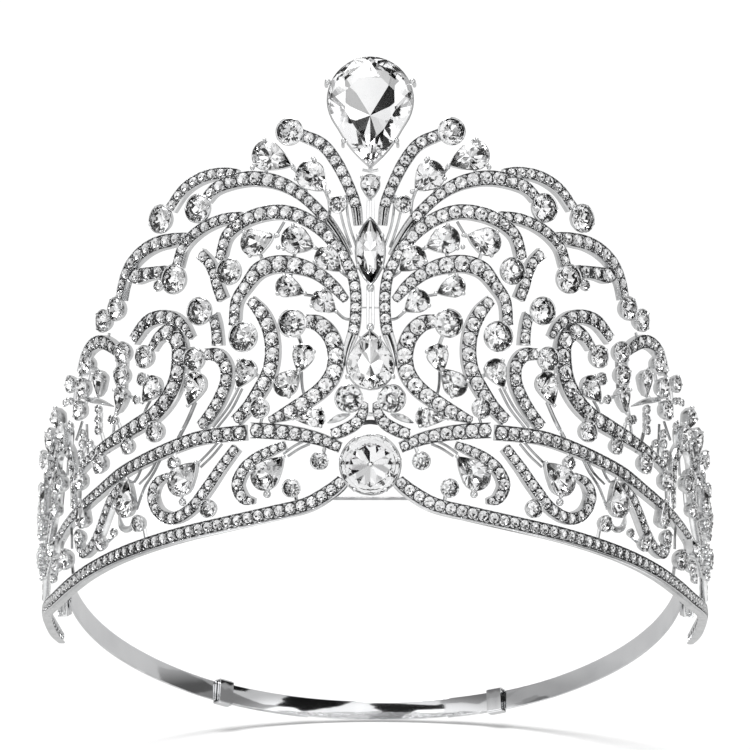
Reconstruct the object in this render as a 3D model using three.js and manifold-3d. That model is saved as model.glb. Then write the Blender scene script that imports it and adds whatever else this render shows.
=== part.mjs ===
// Bridal tiara: an openwork wall of jewelled scrolls on two rails, bent round the front half of the
// head, closed at the back by a plain band whose middle strip slides in two folded sleeves.
// Units are millimetres, +Z up, the front of the tiara faces -Y, +X is the viewer's right.
import * as THREE from "three";
import { mergeVertices } from "three/addons/utils/BufferGeometryUtils.js";
import Module from "manifold-3d";

const wasm = await Module();
wasm.setup();

// ---------- driving dimensions ----------
const CLEARANCE = 0.3; // gap kept between neighbouring pieces
const PATTERN_RADIUS = 81.5; // wall radius on which the pattern's arc lengths are measured
const DATUM_HEIGHT = 37.3; // height of the pattern's datum line above the origin
const WALL_INNER = 79.0; // inner face of the cast scrolls
const WALL_OUTER = 80.8; // outer face of the cast scrolls
const CUP_OUTER = 82.2; // rim of the round stone cups
const LIP_INNER = 78.6; // plain lip under the base rail
const LIP_OUTER = 80.3;
const LIP_WIDTH = 0.9;
const RIBBON_STEP = 3; // spacing of the sections along a scroll
const RAIL_STEP = 4; // and along the base rail
const CUP_SIDES = 12;

const BAND_SLOPE = THREE.MathUtils.degToRad(27.9); // the head plane falls towards the back
const BAND_HEIGHT = 5.6;
const BAND_THICKNESS = 0.7;
const BACK_RADIUS = 68; // inner face of the side strips on the back arc
const BACK_CENTRE = 21.3; // back arc's centre behind the origin, in the head plane
const BACK_HALF_ANGLE = 50; // degrees of back arc each side of the middle
const SIDE_RADIUS = 97.9; // the flatter arc from the back arc to the crown's end
const SIDE_END_ANGLE = -4; // where the side strip stops, past the widest point
const STRIP_TIP_ANGLE = 18; // the side strip's hidden tip, from the middle of the back
const SLEEVE_LENGTH = 4; // degrees of arc, about 4.7 mm
const LEFT_SLEEVE = 41.6; // sleeve centres, in degrees from the middle of the back
const RIGHT_SLEEVE = 31.2;
const SLEEVE_WALL = 0.5;

const metal = new THREE.MeshStandardMaterial({ color: 0xd9dadd, roughness: 0.14, metalness: 1 });
const brightMetal = new THREE.MeshStandardMaterial({ color: 0xe6e7ea, roughness: 0.06, metalness: 1 });
const crystal = new THREE.MeshStandardMaterial({ color: 0xf2f4f7, roughness: 0.03, metalness: 0.2 });

const tiara = new THREE.Group();

// ---------- solids ----------
function solidFrom(vertProperties, triVerts) {
  return new wasm.Manifold(new wasm.Mesh({ numProp: 3, vertProperties, triVerts }));
}

function solidOf(geometry) {
  const bare = geometry.clone();
  bare.deleteAttribute("normal");
  bare.deleteAttribute("uv");
  const merged = mergeVertices(bare, 1e-4);
  return solidFrom(merged.attributes.position.array, new Uint32Array(merged.index.array));
}

function geometryOf(solid) {
  const mesh = solid.getMesh();
  const geometry = new THREE.BufferGeometry();
  geometry.setAttribute("position", new THREE.BufferAttribute(new Float32Array(mesh.vertProperties), 3));
  geometry.setIndex(new THREE.BufferAttribute(new Uint32Array(mesh.triVerts), 1));
  geometry.computeVertexNormals();
  return geometry;
}

function largestPiece(solid) {
  return solid.decompose().reduce((best, piece) => (piece.volume() > best.volume() ? piece : best));
}

function addMesh(name, geometry, material) {
  const mesh = new THREE.Mesh(geometry, material);
  mesh.name = name;
  tiara.add(mesh);
  return mesh;
}

// The point of the bent wall at a distance along it, a height and a radius from the upright axis.
function wallPoint(along, up, radius) {
  const angle = along / PATTERN_RADIUS;
  return new THREE.Vector3(radius * Math.sin(angle), -radius * Math.cos(angle), up + DATUM_HEIGHT);
}

// Bends a flat extrusion, X along the wall, Y up and Z outward, round the upright axis.
function bendRound(geometry, innerRadius) {
  const p = geometry.attributes.position;
  for (let i = 0; i < p.count; i++) {
    p.setXYZ(i, ...wallPoint(p.getX(i), p.getY(i), innerRadius + p.getZ(i)));
  }
  return geometry;
}

// A ribbon's section, as [across, radius] corners.
const ribbonProfile = (inner, outer, grow = 0) => (width) => {
  const half = width / 2 + grow;
  return [[half, inner], [half, outer], [-half, outer], [-half, inner]];
};

// The base rail's section: a channel with a plain lip set back along its lower edge.
const railProfile = (width) => [
  [width / 2, WALL_INNER],
  [width / 2, WALL_OUTER],
  [-width / 2, WALL_OUTER],
  [-width / 2, LIP_OUTER],
  [-width / 2 - LIP_WIDTH, LIP_OUTER],
  [-width / 2 - LIP_WIDTH, LIP_INNER],
  [-width / 2, LIP_INNER],
];

// Sweeps a section along points [along, up, width] on the wall; grow lengthens it at both ends.
function sweptSolid(points, profile, grow = 0, step = RIBBON_STEP) {
  const curve = new THREE.CatmullRomCurve3(
    points.map(([along, up, width]) => new THREE.Vector3(along, up, width)),
    false,
    "centripetal",
  );
  const count = Math.max(2, Math.ceil(curve.getLength() / step));
  const upward = points[0][0] < 0 ? -1 : 1; // keeps a mirrored ribbon's lip on its lower edge
  const positions = [];
  for (let i = 0; i <= count; i++) {
    const at = curve.getPointAt(i / count);
    const run = curve.getTangentAt(i / count);
    const direction = new THREE.Vector2(run.x, run.y).normalize();
    const endGrow = i === 0 ? -grow : i === count ? grow : 0;
    const middle = new THREE.Vector2(at.x, at.y).addScaledVector(direction, endGrow);
    const side = new THREE.Vector2(-direction.y, direction.x).multiplyScalar(upward);
    for (const [across, radius] of profile(at.z)) {
      positions.push(...wallPoint(middle.x + side.x * across, middle.y + side.y * across, radius));
    }
  }
  const corners = profile(1).length;
  const indices = [];
  for (let i = 0; i < count; i++) {
    for (let j = 0; j < corners; j++) {
      const [a, b] = [i * corners + j, i * corners + ((j + 1) % corners)];
      indices.push(a, b, b + corners, a, b + corners, a + corners);
    }
  }
  const contour = profile(1).map(([across, radius]) => new THREE.Vector2(across, radius));
  for (const [a, b, c] of THREE.ShapeUtils.triangulateShape(contour, [])) {
    const last = count * corners;
    indices.push(a, c, b, last + a, last + b, last + c);
  }
  const solid = solidFrom(new Float32Array(positions), new Uint32Array(indices));
  if (solid.volume() > 0) return solid;
  return solidFrom(new Float32Array(positions), new Uint32Array(indices.reverse()));
}

function extruded(shape, inner, outer) {
  const settings = { depth: outer - inner, bevelEnabled: false };
  return bendRound(new THREE.ExtrudeGeometry(shape, settings), inner);
}

function ribbonSolid(points, inner, outer, grow = 0) {
  return sweptSolid(points, ribbonProfile(inner, outer, grow), grow);
}

function discShape(along, up, radius) {
  const corners = Array.from({ length: CUP_SIDES }, (_, i) => {
    const angle = (2 * Math.PI * i) / CUP_SIDES;
    return new THREE.Vector2(along + radius * Math.cos(angle), up + radius * Math.sin(angle));
  });
  return new THREE.Shape(corners);
}

// Every piece already placed on the wall, grown by the clearance: later pieces are cut to fit.
const taken = [];
const CUT_INNER = WALL_INNER - 3;
const CUT_OUTER = CUP_OUTER + 4;

function cutToFit(solid) {
  return taken.reduce((left, cutter) => left.subtract(cutter), solid);
}

// One casting: ribbons [[along, up, width], ...] and round cups [along, up, radius], joined.
function casting(name, ribbons, cups = [], inner = WALL_INNER, outer = WALL_OUTER) {
  const pieces = ribbons.map((points) => ribbonSolid(points, inner, outer));
  cups.forEach(([along, up, radius]) => {
    pieces.push(solidOf(extruded(discShape(along, up, radius), inner, CUP_OUTER)));
  });
  const joined = pieces.reduce((all, piece) => all.add(piece));
  addMesh(name, geometryOf(largestPiece(cutToFit(joined))), metal);
  ribbons.forEach((points) => taken.push(ribbonSolid(points, CUT_INNER, CUT_OUTER, CLEARANCE)));
  cups.forEach(([along, up, radius]) => {
    taken.push(solidOf(extruded(discShape(along, up, radius + CLEARANCE), CUT_INNER, CUT_OUTER)));
  });
}

const mirrored = (rows) => rows.map(([along, ...rest]) => [-along, ...rest]);

// A casting and its mirror image on the left of the tiara.
function castingPair(name, ribbons, cups = []) {
  casting(name + "_right", ribbons, cups);
  casting(name + "_left", ribbons.map(mirrored), mirrored(cups));
}

// ---------- centre stones and their collets ----------
// A stone's outline round its own middle: an arc at the round end, straight sides to the tip.
function pearShape(halfWidth, height, tipUp) {
  const arcCentre = height / 2 - halfWidth;
  const tip = -height / 2;
  const reach = arcCentre - tip;
  const lean = Math.asin(halfWidth / reach);
  const shape = new THREE.Shape();
  shape.moveTo(0, tip);
  shape.lineTo(halfWidth * Math.cos(lean), arcCentre - halfWidth * Math.sin(lean));
  shape.absarc(0, arcCentre, halfWidth, -lean, Math.PI + lean, false);
  if (!tipUp) return shape;
  return new THREE.Shape(shape.getPoints(STONE_SEGMENTS).map((p) => new THREE.Vector2(-p.x, -p.y)));
}

// A marquise is two equal arcs that meet at its tips.
function marquiseShape(halfWidth, halfHeight) {
  const radius = (halfHeight ** 2 + halfWidth ** 2) / (2 * halfWidth);
  const half = Math.asin(halfHeight / radius);
  const shape = new THREE.Shape();
  shape.absarc(halfWidth - radius, 0, radius, -half, half, false);
  shape.absarc(radius - halfWidth, 0, radius, Math.PI - half, Math.PI + half, false);
  return shape;
}

function roundShape(radius) {
  const shape = new THREE.Shape();
  shape.absarc(0, 0, radius, 0, 2 * Math.PI, false);
  return shape;
}

const COLLET_WALL = 0.8;
const COLLET_INNER = 79.2;
const COLLET_OUTER = 81.6;
const STONE_BACK = 79.6;
const STONE_SEGMENTS = 6;

// Sets a stone and the collet round it upright on the front of the wall. outline(grow) gives the
// stone's outline, grown all round.
function settingAt(name, up, outline, stoneFront, bevel, hasCollet = true) {
  const stone = new THREE.ExtrudeGeometry(outline(0), {
    depth: stoneFront - STONE_BACK - 2 * bevel,
    bevelThickness: bevel,
    bevelSize: bevel,
    bevelOffset: -bevel,
    bevelSegments: 1,
    curveSegments: STONE_SEGMENTS,
  });
  const upright = (mesh, radius) => {
    mesh.rotation.set(Math.PI / 2, 0, 0);
    mesh.position.set(0, -radius, up + DATUM_HEIGHT);
  };
  stone.translate(0, 0, bevel);
  upright(addMesh(name + "_stone", stone, crystal), STONE_BACK);
  const reach = hasCollet ? COLLET_WALL + 2 * CLEARANCE : CLEARANCE;
  const cutter = new THREE.ExtrudeGeometry(outline(reach), {
    depth: CUT_OUTER - CUT_INNER,
    bevelEnabled: false,
    curveSegments: STONE_SEGMENTS,
  });
  cutter.rotateX(Math.PI / 2).translate(0, -CUT_INNER, up + DATUM_HEIGHT);
  taken.push(solidOf(cutter));
  if (!hasCollet) return;
  const wall = outline(COLLET_WALL + CLEARANCE);
  wall.holes.push(new THREE.Path(outline(CLEARANCE).getPoints(STONE_SEGMENTS)));
  const collet = new THREE.ExtrudeGeometry(wall, {
    depth: COLLET_OUTER - COLLET_INNER,
    bevelEnabled: false,
    curveSegments: STONE_SEGMENTS,
  });
  upright(addMesh(name + "_collet", collet, metal), COLLET_INNER);
}

settingAt("top_pear", 66.2, (grow) => pearShape(8.4 + grow, 21.6 + 2.2 * grow, false), 86.2, 1.4);
settingAt("upper_pear", 51.6, (grow) => pearShape(1.7 + grow, 4.4 + 2.6 * grow, false), 82.4, 0.4, false);
settingAt("marquise", 38.8, (grow) => marquiseShape(2.8 + grow, 6.3 + 2 * grow), 83.4, 0.7);
settingAt("lower_pear", 17.5, (grow) => pearShape(4.5 + grow, 11.2 + 2.6 * grow, true), 84.2, 1);
settingAt("rivoli", -2.8, (grow) => roundShape(5.8 + grow), 84.6, 1.2);

// ---------- rails ----------
const BASE_RAIL = [
  [4.8, -4.9, 2.2],
  [6.3, -6.6, 2.6],
  [9.2, -8.7, 2.8],
  [12.6, -10.5, 2.8],
  [20, -12.3, 2.8],
  [30, -14.5, 2.8],
  [40, -16.7, 2.8],
  [50, -19.3, 2.8],
  [60, -22.3, 2.8],
  [70, -25.8, 2.8],
  [80, -29.7, 2.8],
  [90, -33.4, 2.8],
  [100, -36, 2.8],
  [110, -38.3, 2.8],
  [119, -41.2, 3],
  [127, -44.6, 3.2],
  [133.4, -47.5, 2.2],
];
const UPPER_RAIL_INNER = [
  [6.4, 0.9, 2.2],
  [10, 2.1, 2.6],
  [15, 3.2, 3],
  [20, 3.7, 3.2],
  [24.4, 3.9, 3.2],
];
const UPPER_RAIL_OUTER = [
  [24.9, 3.5, 3.2],
  [30, 3.1, 3.1],
  [36, 2.4, 3],
  [42, 0.8, 2.9],
  [50, -1.9, 2.8],
  [58, -5, 2.7],
  [65, -8.6, 2.6],
  [75, -13.4, 2.5],
  [85, -18.8, 2.4],
  [95, -25.4, 2.2],
  [104, -32.2, 2],
];

const turnedTo = (side, points) => (side < 0 ? mirrored(points) : points);

for (const [word, side] of [["right", 1], ["left", -1]]) {
  const rail = turnedTo(side, BASE_RAIL);
  const swept = sweptSolid(rail, railProfile, 0, RAIL_STEP);
  addMesh("base_rail_" + word, geometryOf(largestPiece(cutToFit(swept))), metal);
  const grown = ribbonProfile(CUT_INNER, CUT_OUTER, CLEARANCE);
  taken.push(sweptSolid(rail, grown, CLEARANCE, RAIL_STEP));
}
castingPair("upper_rail_inner", [UPPER_RAIL_INNER]);
castingPair("upper_rail_outer", [UPPER_RAIL_OUTER]);

// ---------- upright scrolls above the rails ----------
const HEART_STEM = [
  [4.2, 20.6, 2],
  [3.3, 23.4, 2.4],
  [2.9, 27, 2.4],
  [2.95, 31, 2.4],
  [3.6, 34.4, 2.4],
  [5.6, 38.3, 2.6],
  [9, 42.6, 2.7],
  [13.4, 45.7, 2.9],
  [18, 47.1, 3],
  [23.8, 46.5, 3],
  [27.4, 44.9, 2.8],
  [30, 42.6, 2.6],
  [31.4, 38.2, 2.4],
];
const HEART_STEM_BRANCH = [
  [25.5, 46.4, 2.4],
  [31, 46.2, 2.4],
  [36.6, 44.2, 2.5],
  [40.4, 41.1, 2.5],
  [41.9, 37.4, 2.5],
];
castingPair("heart_stem", [HEART_STEM, HEART_STEM_BRANCH], [[41.8, 34.6, 3.1]]);

const HIGH_PLUME = [
  [4.2, 38.2, 1.6],
  [6.2, 41.8, 2],
  [8.8, 45.4, 2.4],
  [13.6, 50.1, 2.5],
  [18.2, 52.8, 2.9],
  [24, 54.1, 3.1],
  [29.5, 53.6, 3],
  [33, 52.3, 2.6],
  [34.8, 50.6, 2.4],
];
const HIGH_PLUME_BRANCH = [
  [26.5, 54.9, 2.2],
  [31, 55.6, 2.4],
  [36, 55, 2.5],
  [40.4, 52.9, 2.5],
  [44.2, 48.9, 2.5],
];
castingPair("high_plume", [HIGH_PLUME, HIGH_PLUME_BRANCH], [
  [36, 48.6, 3],
  [45.4, 47.2, 3],
]);

const TOP_PLUME = [
  [2.4, 44.2, 2],
  [2.9, 48, 2.3],
  [4.3, 51.8, 2.4],
  [6.8, 56.7, 2.6],
  [9.7, 60.3, 2.6],
  [14, 62.4, 2.4],
];
castingPair("top_plume", [TOP_PLUME], [[16.1, 62.8, 2.8]]);

const OUTER_ARCH = [
  [39.6, 43.3, 1.8],
  [43, 42.9, 2.9],
  [47.5, 42.4, 3.1],
  [51.8, 40.9, 3.1],
  [55.6, 38.2, 2.9],
  [57.7, 34.8, 2.7],
  [58.6, 31.6, 2.5],
];
const ARCH_TIE = [
  [45.2, 36.5, 2.6],
  [49.6, 36.4, 2.8],
  [53.4, 36.2, 3.4],
  [56, 37.4, 3],
];
castingPair("outer_arch", [OUTER_ARCH, ARCH_TIE], [
  [58.5, 29.5, 2.6],
  [63, 27.3, 2.5],
]);

const CURL_LINK = [
  [36.2, 39.7, 2.5],
  [34, 37.7, 2.4],
  [32.7, 35.2, 2.4],
  [31.8, 32.5, 2.5],
  [30.8, 30.2, 2.6],
];
castingPair("curl_link", [CURL_LINK], [[28.8, 35.5, 2.8]]);

const DROP_LINK = [
  [38.9, 33.5, 2.6],
  [36.4, 31.6, 2.8],
  [34.4, 29.4, 2.6],
  [32.6, 26, 2.4],
  [32, 22.6, 2.5],
  [31.9, 20.9, 2.6],
];
castingPair("drop_link", [DROP_LINK], [[35.5, 27.8, 2.9]]);

const LOW_PLUME = [
  [4.9, 29.4, 1.8],
  [7.2, 32, 2.5],
  [11, 34.9, 2.9],
  [15.2, 36.4, 3.5],
  [19.4, 36.7, 3.6],
  [22.8, 35.6, 3.5],
  [25.5, 32.6, 2.8],
  [27.6, 29.6, 2.6],
  [28.1, 24.8, 2.5],
];
castingPair("low_plume", [LOW_PLUME], [[25.6, 22.4, 3.1]]);

const LEAF_SCROLL = [
  [24.6, 29.8, 2.2],
  [22.2, 27.2, 3],
  [20.4, 23.6, 3.2],
  [19.8, 19.4, 3.2],
  [20.4, 15.6, 3.2],
  [22.3, 12, 3.2],
  [25, 8.4, 2.8],
  [27.8, 5.7, 2.6],
];
castingPair("leaf_scroll", [LEAF_SCROLL]);

const INNER_HEART = [
  [13, 25.4, 2.6],
  [10.2, 24.7, 3.4],
  [7.8, 22.2, 3.5],
  [6.8, 18.6, 3.5],
  [7.3, 15.1, 3.5],
  [9.3, 12.2, 3.4],
  [12.6, 9.7, 3.2],
  [16.4, 7.4, 3],
  [20.4, 5.9, 1.4],
];
castingPair("inner_heart", [INNER_HEART], [[15.4, 24.8, 2.9]]);

const MID_SCROLL = [
  [34.8, 19.2, 2.4],
  [31.8, 18.9, 2.9],
  [30, 16.9, 2.9],
  [29.8, 13.8, 2.8],
  [31.3, 10.2, 2.8],
  [33.6, 6.9, 2.7],
  [35.8, 4.6, 2.5],
];
castingPair("mid_scroll", [MID_SCROLL], [[36.7, 18.2, 2.5]]);

const HEART_LIMB = [
  [49, 20.4, 2],
  [46.6, 23.1, 2.6],
  [43.8, 24, 3.6],
  [41.4, 21.7, 3.8],
  [41.2, 17.6, 3.8],
  [42, 13.9, 3.8],
  [44.1, 10.5, 3.8],
  [47.4, 7.5, 3.6],
  [53, 4.9, 3.4],
  [59.6, 2.3, 3],
  [66, -0.3, 2.4],
  [71, -2.6, 2.2],
  [74.2, -4.4, 2],
];
castingPair("heart_limb", [HEART_LIMB], [[49.1, 18.4, 2.4]]);

const OUTER_HEART = [
  [38.2, 22.8, 1.6],
  [40, 25.2, 2.2],
  [42.8, 26.8, 2.8],
  [46.6, 27.2, 3],
  [50.3, 26.2, 3],
  [54.2, 22.8, 2.6],
];
castingPair("outer_heart", [OUTER_HEART], [[55.4, 20.8, 2.5]]);

const SIDE_ARCH = [
  [58.9, 20.3, 2],
  [61.5, 21.9, 2.8],
  [65, 23, 3],
  [68.6, 22.6, 3],
  [71.8, 20.8, 2.8],
  [74.4, 16.6, 2.5],
];
castingPair("side_arch", [SIDE_ARCH], [[75.4, 14.6, 2.4]]);

const END_ARCH = [
  [77.2, -12.6, 2],
  [77, -8.6, 2.6],
  [77.6, -4.4, 2.8],
  [79.8, -0.8, 2.8],
  [83.4, 1, 2.8],
  [87.2, 0.2, 2.8],
  [89.8, -2.8, 2.8],
  [90.6, -7, 2.6],
  [90.8, -11, 2.6],
  [93, -15.6, 2.6],
  [97, -20.6, 2.4],
];
castingPair("end_arch", [END_ARCH], [
  [86.4, 4, 2.8],
  [93, -3.6, 2.6],
]);

const FAR_ARCH = [
  [97.2, -6.2, 2.2],
  [100.4, -4.6, 2.6],
  [104.4, -6, 2.8],
  [107.4, -10, 2.8],
  [109, -15.4, 2.8],
  [109.6, -21.6, 2.8],
  [109.8, -28.4, 2.6],
  [109.8, -35.8, 2.4],
];
castingPair("far_arch", [FAR_ARCH], [
  [99.8, -2.2, 2.3],
  [112.2, -16.6, 2.5],
  [112.6, -26, 2.5],
]);

// ---------- scrolls between the two rails ----------
const HOOK_SCROLL = [
  [17.2, 1, 1.6],
  [20.2, -0.2, 2.2],
  [23.6, -1.9, 2.4],
  [26, -4.1, 2.6],
  [27.2, -7, 2.7],
  [25.8, -9.6, 2.4],
  [23.6, -10.1, 1.2],
];
castingPair("hook_scroll", [HOOK_SCROLL]);

const RAIL_SCROLL = [
  [27.6, 0.4, 2.2],
  [30.8, -3.4, 2.4],
  [34, -7.5, 2.6],
  [38, -11.8, 2.6],
  [42.6, -13.8, 2.6],
  [46.4, -12.6, 2.6],
  [48.1, -9.4, 2.6],
  [46.9, -6.7, 2.2],
  [44, -5.2, 1.4],
];
castingPair("rail_scroll", [RAIL_SCROLL]);

const RAIL_CHAIN = [
  [57.6, -7.4, 1.8],
  [60.4, -9.8, 2.4],
  [62.9, -13.4, 2.5],
  [65.6, -17.6, 2.5],
  [69, -21, 2.3],
  [72.6, -22.2, 2.1],
  [75, -19.6, 2],
];
castingPair("rail_chain", [RAIL_CHAIN], [[63.2, -19.6, 1.6]]);

// ---------- straight wire behind the centre stone ----------
const WIRE_RADIUS = 0.35;
const WIRE_LENGTH = 19;
const WIRE_UP = -9.5;
const WIRE_BACK = 77.1;
const wireGeometry = new THREE.CylinderGeometry(WIRE_RADIUS, WIRE_RADIUS, WIRE_LENGTH, 8);
const wire = addMesh("cross_wire", wireGeometry, metal);
wire.rotation.set(0, 0, Math.PI / 2);
wire.position.set(0, -WIRE_BACK, WIRE_UP + DATUM_HEIGHT);

// ---------- back band, drawn in the head plane and tilted with it ----------
const degrees = THREE.MathUtils.degToRad;
const band = new THREE.Group();
band.rotation.x = -BAND_SLOPE;
tiara.add(band);

// A point on the band's centre line, offset outward. The angle runs from the middle of the back.
function bandPoint(angle, offset) {
  const turn = degrees(angle);
  const x = (BACK_RADIUS + offset) * Math.sin(turn);
  return new THREE.Vector2(x, BACK_CENTRE + (BACK_RADIUS + offset) * Math.cos(turn));
}

// A point on the flatter side arc; its angle runs from the widest point towards the back.
function sidePoint(angle, offset) {
  const join = degrees(BACK_HALF_ANGLE);
  const centreX = (BACK_RADIUS - SIDE_RADIUS) * Math.sin(join);
  const centreY = BACK_CENTRE + (BACK_RADIUS - SIDE_RADIUS) * Math.cos(join);
  const turn = degrees(angle);
  const reach = SIDE_RADIUS + offset;
  return new THREE.Vector2(centreX + reach * Math.cos(turn), centreY + reach * Math.sin(turn));
}

function stepped(from, to, step) {
  const count = Math.ceil(Math.abs(to - from) / step);
  return Array.from({ length: count + 1 }, (_, i) => from + ((to - from) * i) / count);
}

function addToBand(name, outline, height, material) {
  const settings = { depth: height, bevelEnabled: false };
  const geometry = new THREE.ExtrudeGeometry(new THREE.Shape(outline), settings);
  geometry.translate(0, 0, -height / 2);
  const mesh = new THREE.Mesh(geometry, material);
  mesh.name = name;
  band.add(mesh);
  return mesh;
}

// Side strip: along the side arc from the crown's end, then the back arc to its hidden tip.
const SIDE_STEP = 5;
const sideAngles = stepped(SIDE_END_ANGLE, 90 - BACK_HALF_ANGLE, SIDE_STEP);
const backAngles = stepped(BACK_HALF_ANGLE, STRIP_TIP_ANGLE, SIDE_STEP).slice(1);
function sideStripOutline(side) {
  const edge = (offset) => [
    ...sideAngles.map((angle) => sidePoint(angle, offset)),
    ...backAngles.map((angle) => bandPoint(angle, offset)),
  ];
  const outline = [...edge(0), ...edge(BAND_THICKNESS).reverse()];
  return outline.map((p) => new THREE.Vector2(side * p.x, p.y));
}
addToBand("side_strip_right", sideStripOutline(1), BAND_HEIGHT, brightMetal);
addToBand("side_strip_left", sideStripOutline(-1), BAND_HEIGHT, brightMetal);

// Middle strip: inside the side strips, from sleeve to sleeve.
const MIDDLE_OFFSET = -CLEARANCE - BAND_THICKNESS;
const middleAngles = stepped(-LEFT_SLEEVE - SLEEVE_LENGTH / 2, RIGHT_SLEEVE + SLEEVE_LENGTH / 2, SIDE_STEP);
addToBand(
  "middle_strip",
  [
    ...middleAngles.map((angle) => bandPoint(angle, MIDDLE_OFFSET)),
    ...middleAngles.map((angle) => bandPoint(angle, -CLEARANCE)).reverse(),
  ],
  BAND_HEIGHT,
  brightMetal,
);

// Folded sleeve: a flat loop round both strips, cut as a block with a slot through it.
function sleeveBlock(centre, length, innerOffset, outerOffset, height) {
  const angles = [centre - length / 2, centre, centre + length / 2];
  const outline = [
    ...angles.map((angle) => bandPoint(angle, innerOffset)),
    ...angles.map((angle) => bandPoint(angle, outerOffset)).reverse(),
  ];
  const settings = { depth: height, bevelEnabled: false };
  const geometry = new THREE.ExtrudeGeometry(new THREE.Shape(outline), settings);
  return solidOf(geometry.translate(0, 0, -height / 2));
}

function addSleeve(name, centre) {
  const slotInner = MIDDLE_OFFSET - CLEARANCE;
  const slotOuter = BAND_THICKNESS + CLEARANCE;
  const slotHeight = BAND_HEIGHT + 2 * CLEARANCE;
  const inner = slotInner - SLEEVE_WALL;
  const outer = slotOuter + SLEEVE_WALL;
  const block = sleeveBlock(centre, SLEEVE_LENGTH, inner, outer, slotHeight + 2 * SLEEVE_WALL);
  const slot = sleeveBlock(centre, 2 * SLEEVE_LENGTH, slotInner, slotOuter, slotHeight);
  const mesh = new THREE.Mesh(geometryOf(block.subtract(slot)), brightMetal);
  mesh.name = name;
  band.add(mesh);
}
addSleeve("sleeve_left", -LEFT_SLEEVE);
addSleeve("sleeve_right", RIGHT_SLEEVE);

// ---------- brackets that join the side strips to the crown's ends ----------
const BRACKET_LENGTH = 5;
const BRACKET_HEIGHT = 4.4;
const BRACKET_THICKNESS = 0.9;
const BRACKET_UP = -1.6; // centre height above the origin
const BRACKET_BACK = -1.5;
for (const [word, side] of [["right", 1], ["left", -1]]) {
  const innerX = sidePoint(0, BAND_THICKNESS).x + CLEARANCE;
  const outerX = WALL_INNER - CLEARANCE - 0.2;
  // U section: two cheeks, along the strip and along the wall, joined at the bottom.
  const half = BRACKET_HEIGHT / 2;
  const outline = [
    [innerX, half],
    [innerX, -half],
    [outerX, -half],
    [outerX, half],
    [outerX - BRACKET_THICKNESS, half],
    [outerX - BRACKET_THICKNESS, BRACKET_THICKNESS - half],
    [innerX + BRACKET_THICKNESS, BRACKET_THICKNESS - half],
    [innerX + BRACKET_THICKNESS, half],
  ].map(([x, y]) => new THREE.Vector2(side * x, y));
  const settings = { depth: BRACKET_LENGTH, bevelEnabled: false };
  const geometry = new THREE.ExtrudeGeometry(new THREE.Shape(outline), settings);
  geometry.translate(0, 0, -BRACKET_LENGTH / 2);
  const bracket = addMesh("end_bracket_" + word, geometry, metal);
  bracket.rotation.set(Math.PI / 2, 0, 0);
  bracket.position.set(0, BRACKET_BACK, BRACKET_UP);
}

export default tiara;
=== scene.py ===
"""Looks of the bridal tiara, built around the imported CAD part. Lengths here are millimetres until
a mesh is made; the pattern is drawn on the unrolled wall as (along, up) and bent round it."""

import math

import bpy
import bmesh
import numpy as np
from mathutils import Matrix, Vector


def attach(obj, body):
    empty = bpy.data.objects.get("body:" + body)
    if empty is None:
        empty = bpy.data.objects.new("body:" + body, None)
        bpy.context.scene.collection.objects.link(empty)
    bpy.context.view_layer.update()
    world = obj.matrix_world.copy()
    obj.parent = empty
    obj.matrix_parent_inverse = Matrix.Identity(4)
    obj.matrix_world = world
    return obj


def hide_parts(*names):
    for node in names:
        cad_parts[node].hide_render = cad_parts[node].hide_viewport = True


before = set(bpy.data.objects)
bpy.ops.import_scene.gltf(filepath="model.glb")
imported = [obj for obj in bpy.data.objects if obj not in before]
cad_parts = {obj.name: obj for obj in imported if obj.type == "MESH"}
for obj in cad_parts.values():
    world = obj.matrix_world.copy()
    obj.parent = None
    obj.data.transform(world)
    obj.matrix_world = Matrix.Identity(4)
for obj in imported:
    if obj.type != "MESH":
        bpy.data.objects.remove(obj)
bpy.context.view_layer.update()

# ---------- shared dimensions, as in the CAD ----------
MM = 0.001
PATTERN_RADIUS = 81.5
DATUM_HEIGHT = 37.3
WALL_INNER = 79.0
WALL_OUTER = 80.8
BAND_SLOPE = math.radians(27.9)
BAND_HEIGHT = 5.6
BAND_THICKNESS = 0.7
BACK_RADIUS = 68.0
BACK_CENTRE = 21.3
BACK_HALF_ANGLE = 50.0
SIDE_RADIUS = 97.9
SIDE_END_ANGLE = -4.0
STRIP_TIP_ANGLE = 18.0
SLEEVE_LENGTH = 4.0
LEFT_SLEEVE = 41.6
RIGHT_SLEEVE = 31.2
CLEARANCE = 0.3
TOP_PEAR_UP = 66.2
UPPER_PEAR_UP = 51.6
MARQUISE_UP = 38.8
LOWER_PEAR_UP = 17.5
RIVOLI_UP = -2.8
RIVOLI_RADIUS = 5.8

# ---------- fine dimensions: channels and their stones ----------
RIM = 0.2
CHANNEL_STEP = 0.6
STONE_INSET = 0.4
RAIL_INSET = 0.66
STONE_GAP = 0.1
RAIL_GAP = 0.14
STONE_RADII = (0.45, 1.6)
PIN_RADIUS = 0.21
PEAR_SCALE = 1.13
RIVOLI_GAP = 0.35

# ---------- radii, from the wall's axis, at which the fine parts stand ----------
FLOOR = 80.2
GIRDLE = 80.62
CUP_RIM = 81.95
SMALL_CUP_RIM = 81.3
CHAIN_CUP_RIM = 81.1
PEAR_GIRDLE = 81.9
BALL_AT = 81.6
WIRE_AT = 79.9
LEAF_AT = 80.0
BAR_AT = 80.0
STEM_AT = 80.2
CLAW_FOOT = 80.0
COLLET_FOOT = 79.2

# Edges sharper than this, in degrees, stay sharp in smooth-shaded metal.
SHARP_ANGLE = 38
BAND_SHARP_ANGLE = 30

rng = np.random.default_rng(11)


# ---------- materials ----------
def new_material(name, **sockets):
    mat = bpy.data.materials.new(name)
    mat.use_nodes = True
    shader = mat.node_tree.nodes["Principled BSDF"]
    for socket, value in sockets.items():
        shader.inputs[socket.replace("_", " ")].default_value = value
    return mat, mat.node_tree, shader


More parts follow.
